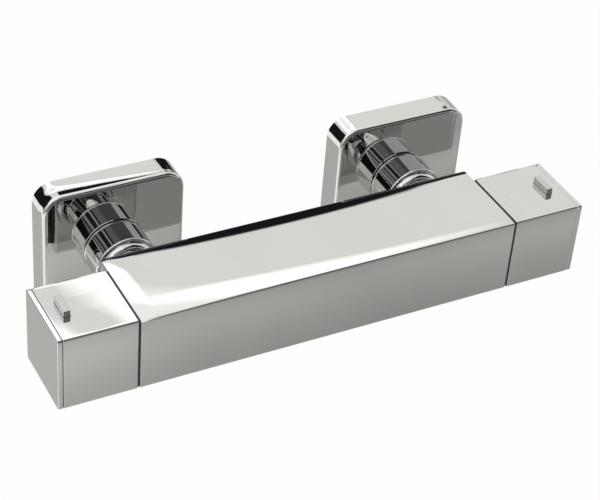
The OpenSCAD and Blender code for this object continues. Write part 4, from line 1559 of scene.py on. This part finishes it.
@dataclass(frozen=True)
class Spring:
    """A coil spring in its node's place, with the seat and the joint that the record gives it.

    The axis is 0, 1 or 2 for X, Y or Z, and the coil fills its node's box. The steps are those of a
    turn, and the sides are those of the wire.
    """

    node: str
    body: str
    joint: str
    travel: float
    axis: int
    seat: float
    wire: float
    turns: int
    steps: int = 24
    sides: int = 8
    crisp: float = 60.0

    def coil(self, low: Sequence[float], high: Sequence[float]) -> list[list[Point]]:
        """Gives the rings around the coiled wire.

        Args:
            low: lowest corner of the node's box.
            high: its highest corner.

        Returns:
            The rings from one end of the wire to the other.
        """
        one, other = (k for k in range(3) if k != self.axis)
        radius = (high[one] - low[one]) / 2 - self.wire
        start, end = low[self.axis] + self.wire, high[self.axis] - self.wire
        count = self.turns * self.steps
        rings = []
        for k in range(count + 1):
            angle = 2 * math.pi * k / self.steps
            ring = []
            for out, lift in circle(self.wire, self.sides):
                point = [(a + b) / 2 for a, b in zip(low, high)]
                point[one] += (radius + out) * math.cos(angle)
                point[other] += (radius + out) * math.sin(angle)
                point[self.axis] = start + (end - start) * k / count + lift
                ring.append((point[0], point[1], point[2]))
            rings.append(ring)
        return rings

    def build(self) -> None:
        """Builds the coil where its node is."""
        low, high = ([value / MM for value in corner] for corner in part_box(self.node))
        skin = Skin()
        skin.solid(self.coil(low, high))
        piece = skin.build(f"{self.node}_coil", self.crisp)
        dress(piece, "spring_steel", self.body, self.node)
        length = max(abs(high[self.axis] - self.seat), abs(low[self.axis] - self.seat))
        axis, anchor = [0.0, 0.0, 0.0], [(a + b) / 2 * MM for a, b in zip(low, high)]
        axis[self.axis], anchor[self.axis] = 1.0, self.seat * MM
        tuple(axis)
        tuple(anchor)
        1.0 - self.travel / length
        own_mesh(piece)


def springs(behaviour: dict) -> list[Spring]:
    """Finds the springs that the record ties to a joint.

    Args:
        behaviour: the record's bodies and joints.

    Returns:
        One spring for each node that shortens.
    """
    homes = {node: body for body, nodes in behaviour["bodies"].items() for node in nodes}
    found = []
    for joint in behaviour["joints"]:
        travel = max(abs(value) for value in joint.get("range_m", (0.0,))) / MM
        for entry in joint.get("deforming_nodes", ()):
            node, letter = entry["node"], entry["mode"][-1]
            wire, turns = next(coil for ending, coil in COILS.items() if node.endswith(ending))
            found.append(Spring(node, homes[node], joint["name"], travel, "xyz".index(letter),
                                entry[f"fixed_end_{letter}_m"] / MM, wire, turns))
    return found


def dress_frame(frame: dict) -> None:
    """Gives every CAD node the finish of its material slot.
    """
    for part in frame["record"]["subparts"]:
        piece = frame["nodes"][part["node"]]
        material = FINISHES[part["material_slot"]].material()
        if not piece.material_slots:
            piece.data.materials.append(material)
        for slot in piece.material_slots:
            slot.material = material


# Studio


@dataclass(frozen=True)
class Panel:
    """A lit or dark panel of the studio, as metal sees it.

    Its azimuth is in degrees from +Y towards +X. Its half width and half height are tangents, and
    so are the widths of its soft borders, first at the sides and then at the top and bottom.
    """

    azimuth: float
    elevation: float
    half_width: float
    half_height: float
    light: Colour
    soft: Pair = (0.05, 0.05)
    roll: float = 0.0

    def axes(self) -> tuple[Vector, Vector, Vector]:
        """Works out how the panel lies.

        Returns:
            The directions to its middle, right and top.
        """
        a, e = math.radians(self.azimuth), math.radians(self.elevation)
        ahead = Vector((math.sin(a) * math.cos(e), math.cos(a) * math.cos(e), math.sin(e)))
        right = ahead.cross(Vector((0, 0, 1))).normalized()
        up = right.cross(ahead)
        r = math.radians(self.roll)
        return (ahead, right * math.cos(r) + up * math.sin(r),
                up * math.cos(r) - right * math.sin(r))

    def mask(self, tree: Tree, direction: bpy.types.NodeSocket) -> Value:
        """Tells where the panel is.

        Args:
            tree: the world's tree.
            direction: the direction in which metal looks.

        Returns:
            1 inside the panel and 0 outside, with a soft border.
        """
        ahead, right, up = (tree.value("ShaderNodeVectorMath", {"operation": "DOT_PRODUCT"},
                                       {0: direction, 1: tuple(axis)}, "Value")
                            for axis in self.axes())
        front = ahead > 0.02
        across = ((self.half_width - abs(right / ahead)) / self.soft[0] + 0.5).clamped()
        along = ((self.half_height - abs(up / ahead)) / self.soft[1] + 0.5).clamped()
        return front * across * along


@dataclass(frozen=True)
class Studio:
    """Pale floor, soft light, and the camera of the photograph.

    The camera looks at the middle of the bar from a distance, with the view shifted by an offset
    and turned by a roll in degrees. The floor's height is in metres. Its stops are greys of painted
    light and shade across it and towards the user, which metal sees on the floor in place of real
    lighting, and the overhead and ceiling pairs are heights of the direction between which the
    light changes.
    """

    floor_height: float = -0.62
    floor_reach: float = 3.0
    azimuth: float = -29.913
    elevation: float = 37.075
    roll: float = 4.946
    distance: float = 829.39
    offset: Pair = (-6.49, 13.12)
    focal_pixels: float = 1823.2
    width_pixels: float = 600.0
    sensor: float = 36.0
    panels: tuple[Panel, ...] = (
        Panel(75.0, 45.0, 0.53, 1.2, (1.0, 0.98, 0.95), (0.10, 0.1)),
        Panel(-12.0, 12.0, 0.9, 0.38, BLACK, (0.04, 0.02)),
        Panel(18.0, 18.5, 0.275, 0.28, BLACK, (0.04, 0.015), -6.0),
        Panel(34.0, 9.0, 0.13, 0.29, BLACK, (0.02, 0.015), 17.0),
        Panel(198.0, 35.0, 0.75, 0.6, (0.02, 0.02, 0.021), (0.06, 0.06)),
        Panel(140.0, 40.0, 0.75, 0.75, (0.03, 0.03, 0.032), (0.06, 0.06)),
        Panel(168.0, 0.0, 0.566, 1.4, (0.10, 0.10, 0.105), (0.02, 0.1)),
        Panel(190.0, 0.0, 0.21, 1.4, (0.18, 0.18, 0.185), (0.14, 0.1)),
        Panel(144.3, 33.5, 0.45, 0.073, (0.56, 0.56, 0.57), (0.02, 0.012), 55.0),
        Panel(136.0, 12.0, 0.13, 0.2, (0.57, 0.57, 0.57), (0.02, 0.03)),
        Panel(228.0, 28.0, 0.22, 0.6, (0.50, 0.50, 0.50), (0.03, 0.04)),
        Panel(198.8, 0.0, 0.03, 0.87, (0.012, 0.012, 0.012), (0.01, 0.02)),
        Panel(204.0, 0.0, 0.032, 1.4, (0.42, 0.42, 0.42), (0.02, 0.1)),
        Panel(210.2, 0.0, 0.056, 1.4, (0.02, 0.02, 0.02), (0.015, 0.1)),
        Panel(215.4, 0.0, 0.021, 1.4, (0.36, 0.335, 0.32), (0.015, 0.1)),
        Panel(218.0, 0.0, 0.022, 1.4, (0.05, 0.038, 0.033), (0.015, 0.1)),
        Panel(221.6, 0.0, 0.034, 1.4, (0.22, 0.21, 0.20), (0.02, 0.1)),
        Panel(222.2, 4.0, 0.036, 0.13, (0.64, 0.64, 0.64), (0.01, 0.02)),
        Panel(222.5, 12.8, 0.12, 0.024, (0.015, 0.015, 0.015), (0.02, 0.01)),
        Panel(228.2, 5.0, 0.062, 0.17, (0.01, 0.01, 0.01), (0.01, 0.02)),
        Panel(134.0, 2.0, 0.3, 0.1, (0.65, 0.65, 0.65), (0.06, 0.04)),
        Panel(138.0, -8.5, 0.14, 0.06, (0.02, 0.02, 0.02), (0.03, 0.02)),
    )
    low_light: Colour = (0.30, 0.30, 0.29)
    high_light: Colour = (1.02, 1.0, 0.97)
    overhead: Pair = (0.6210, 0.6335)
    overhead_light: Colour = (1.75, 1.74, 1.70)
    ceiling: Pair = (0.665, 0.705)
    ceiling_light: Colour = (1.28, 1.27, 1.24)
    soft_light: float = 0.72
    painted_light_stops: tuple[Pair, ...] = ((0.0, 1.5), (0.13, 1.5), (0.19, 0.70), (0.5, 0.72),
                                     (0.56, 0.67), (0.63, 0.53), (0.73, 0.47), (0.86, 0.52),
                                     (1.0, 0.60))
    painted_depth_stops: tuple[Pair, ...] = ((0.0, 0.82), (0.1, 0.82), (0.22, 0.92), (0.33, 1.03),
                                     (0.42, 1.06), (0.52, 0.94), (0.62, 0.87), (1.0, 0.82))
    floor_tint: Colour = (1.0, 0.98, 0.955)
    floor_paper: Colour = (0.80, 0.80, 0.79)

    def axes(self) -> tuple[Vector, Vector, Vector]:
        """Works out how the camera is turned.

        Returns:
            Its right, up and forward directions.
        """
        a, e, r = (math.radians(angle) for angle in (self.azimuth, self.elevation, self.roll))
        forward = -Vector((math.sin(a) * math.cos(e), -math.cos(a) * math.cos(e), math.sin(e)))
        right = forward.cross(Vector((0, 0, 1))).normalized()
        up = right.cross(forward)
        return (right * math.cos(r) + up * math.sin(r), up * math.cos(r) - right * math.sin(r),
                forward)

    def build_camera(self) -> None:
        """Sets the camera where the photograph was taken from."""
        right, up, forward = self.axes()
        centre = Vector((0, AXIS_Y, AXIS_Z)) - forward * self.distance
        centre += right * self.offset[0] + up * self.offset[1]
        data = bpy.data.cameras.new("camera")
        data.sensor_width = self.sensor
        data.lens = self.sensor * self.focal_pixels / self.width_pixels
        data.clip_start, data.clip_end = 0.01, 50.0
        camera = link("camera", data)
        turn = Matrix((right, up, -forward)).transposed().to_4x4()
        camera.matrix_world = Matrix.Translation(centre * MM) @ turn
        bpy.context.scene.camera = camera

    def shades(self, tree: Tree, stops: Sequence[Pair], place: Value) -> bpy.types.NodeSocket:
        """Gives painted light and shade greys along a line on the floor, at half strength.

        Args:
            tree: the floor's tree.
            stops: places from 0 to 1 with their greys.
            place: the place along the line.

        Returns:
            The grey's socket.
        """
        ramp = tree.add("ShaderNodeValToRGB", {"stops": [(stop, grey / 2) for stop, grey in stops]},
                        {"Fac": place.clamped()})
        return ramp.outputs["Color"]

    def build_floor(self) -> None:
        """Lays the pale floor, which camera rays see as white apart from shadows."""
        data = bpy.data.meshes.new("studio_floor")
        corners = ((-1, -1), (1, -1), (1, 1), (-1, 1))
        data.from_pydata([(x * self.floor_reach, y * self.floor_reach, self.floor_height)
                          for x, y in corners], [], [[0, 1, 2, 3]])
        floor = link("studio_floor", data)
        material = bpy.data.materials.new("floor_paper")
        material.use_nodes = True
        tree = Tree(material.node_tree)
        across = tree.value("ShaderNodeSeparateXYZ", None, {0: tree.place()}, "X")
        towards = tree.value("ShaderNodeSeparateXYZ", None, {0: tree.place()}, "Y")
        # Painted light and shade that metal sees on the floor: greys across it and a band towards
        # the user, in place of how the lamps light it.
        painted_floor_shading = self.shades(tree, self.painted_light_stops, across / 2.0 + 0.5)
        depth = self.shades(tree, self.painted_depth_stops, (-0.70 - towards) / 0.2)
        painted_floor_shading = tree.mix(1.0, painted_floor_shading, depth, Blend.MULTIPLY)
        painted_floor_shading = tree.mix(1.0, painted_floor_shading, self.floor_tint, Blend.MULTIPLY)
        paper = tree.add("ShaderNodeBsdfDiffuse", None, {"Color": self.floor_paper})
        white = tree.add("ShaderNodeEmission", None, {"Color": WHITE, "Strength": 1.0})
        # Painted floor glow: glossy rays see this painted light and shade instead of the lit paper.
        painted_floor_glow = tree.add("ShaderNodeEmission", None, {"Color": painted_floor_shading, "Strength": 4.0})
        path = tree.add("ShaderNodeLightPath")
        seen = Value(tree, path.outputs["Is Camera Ray"])
        mixed = tree.add("ShaderNodeMixShader", None,
                         {0: seen * 0.96, 1: paper.outputs[0], 2: white.outputs[0]})
        glossy = path.outputs["Is Glossy Ray"]
        mixed = tree.add("ShaderNodeMixShader", None,
                         {0: glossy, 1: mixed.outputs[0], 2: painted_floor_glow.outputs[0]})
        tree.add("ShaderNodeOutputMaterial", None, {"Surface": mixed.outputs[0]})
        data.materials.append(material)

    def build_world(self) -> None:
        """Builds the studio's white background, its soft light and the panels that metal sees."""
        world = bpy.data.worlds.new("studio")
        world.use_nodes = True
        bpy.context.scene.world = world
        tree = Tree(world.node_tree)
        direction = tree.add("ShaderNodeTexCoord").outputs["Generated"]
        height = tree.value("ShaderNodeSeparateXYZ", None, {0: direction}, "Z")
        colour = tree.mix((height * 1.2 + 0.35).clamped(), self.low_light, self.high_light)
        for (start, end), light in ((self.overhead, self.overhead_light),
                                    (self.ceiling, self.ceiling_light)):
            colour = tree.mix(((height - start) / (end - start)).clamped(), colour, light)
        for panel in self.panels:
            colour = tree.mix(panel.mask(tree, direction), colour, panel.light)
        path = tree.add("ShaderNodeLightPath")
        seen, through = (Value(tree, path.outputs[name])
                         for name in ("Is Camera Ray", "Is Transmission Ray"))
        strength = self.soft_light + (1.0 - self.soft_light) * (seen + through).clamped()
        soft = tree.add("ShaderNodeBackground", None, {"Color": WHITE, "Strength": strength})
        studio = tree.add("ShaderNodeBackground", None, {"Color": colour, "Strength": 1.0})
        glossy = path.outputs["Is Glossy Ray"]
        mixed = tree.add("ShaderNodeMixShader", None,
                         {0: glossy, 1: soft.outputs[0], 2: studio.outputs[0]})
        tree.add("ShaderNodeOutputWorld", None, {"Surface": mixed.outputs[0]})

    def build_lamp(self, name: str, place: Point, size: float, power: float) -> None:
        """Hangs one soft lamp that points at the object.

        Args:
            name: its name.
            place: where it hangs, in metres.
            size: its width and height.
            power: its power in watts.
        """
        data = bpy.data.lights.new(name, "AREA")
        data.size = size
        data.energy = power
        lamp = link(name, data)
        lamp.location = place
        towards = Vector((0, AXIS_Y * MM, 0)) - Vector(place)
        lamp.rotation_euler = towards.to_track_quat("-Z", "Y").to_euler()
        lamp.visible_glossy = False

    def build(self) -> None:
        """Builds the whole studio."""
        self.build_camera()
        self.build_floor()
        self.build_world()
        self.build_lamp("key_lamp", (-0.9, -0.5, 1.3), size=0.9, power=9.0)
        self.build_lamp("fill_lamp", (1.2, -0.9, 0.9), size=1.2, power=5.0)
        bpy.context.scene.view_settings.view_transform = "Standard"


def main() -> None:
    """Builds the valve's looks and the studio."""
    logging.basicConfig(level=logging.INFO, format="%(name)s %(message)s")
    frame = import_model()
    dress_frame(frame)
    Bar().build()
    for side in Side:
        Handle(side).build()
        Inlet(side).build()
        Union(Inlet(side)).build()
    Scale(Handle(Side.COLD)).build()
    HoseOutlet().build()
    for spring in springs(frame["record"]["behaviour"]):
        spring.build()
    Studio().build()


if __name__ == "__main__":
    main()
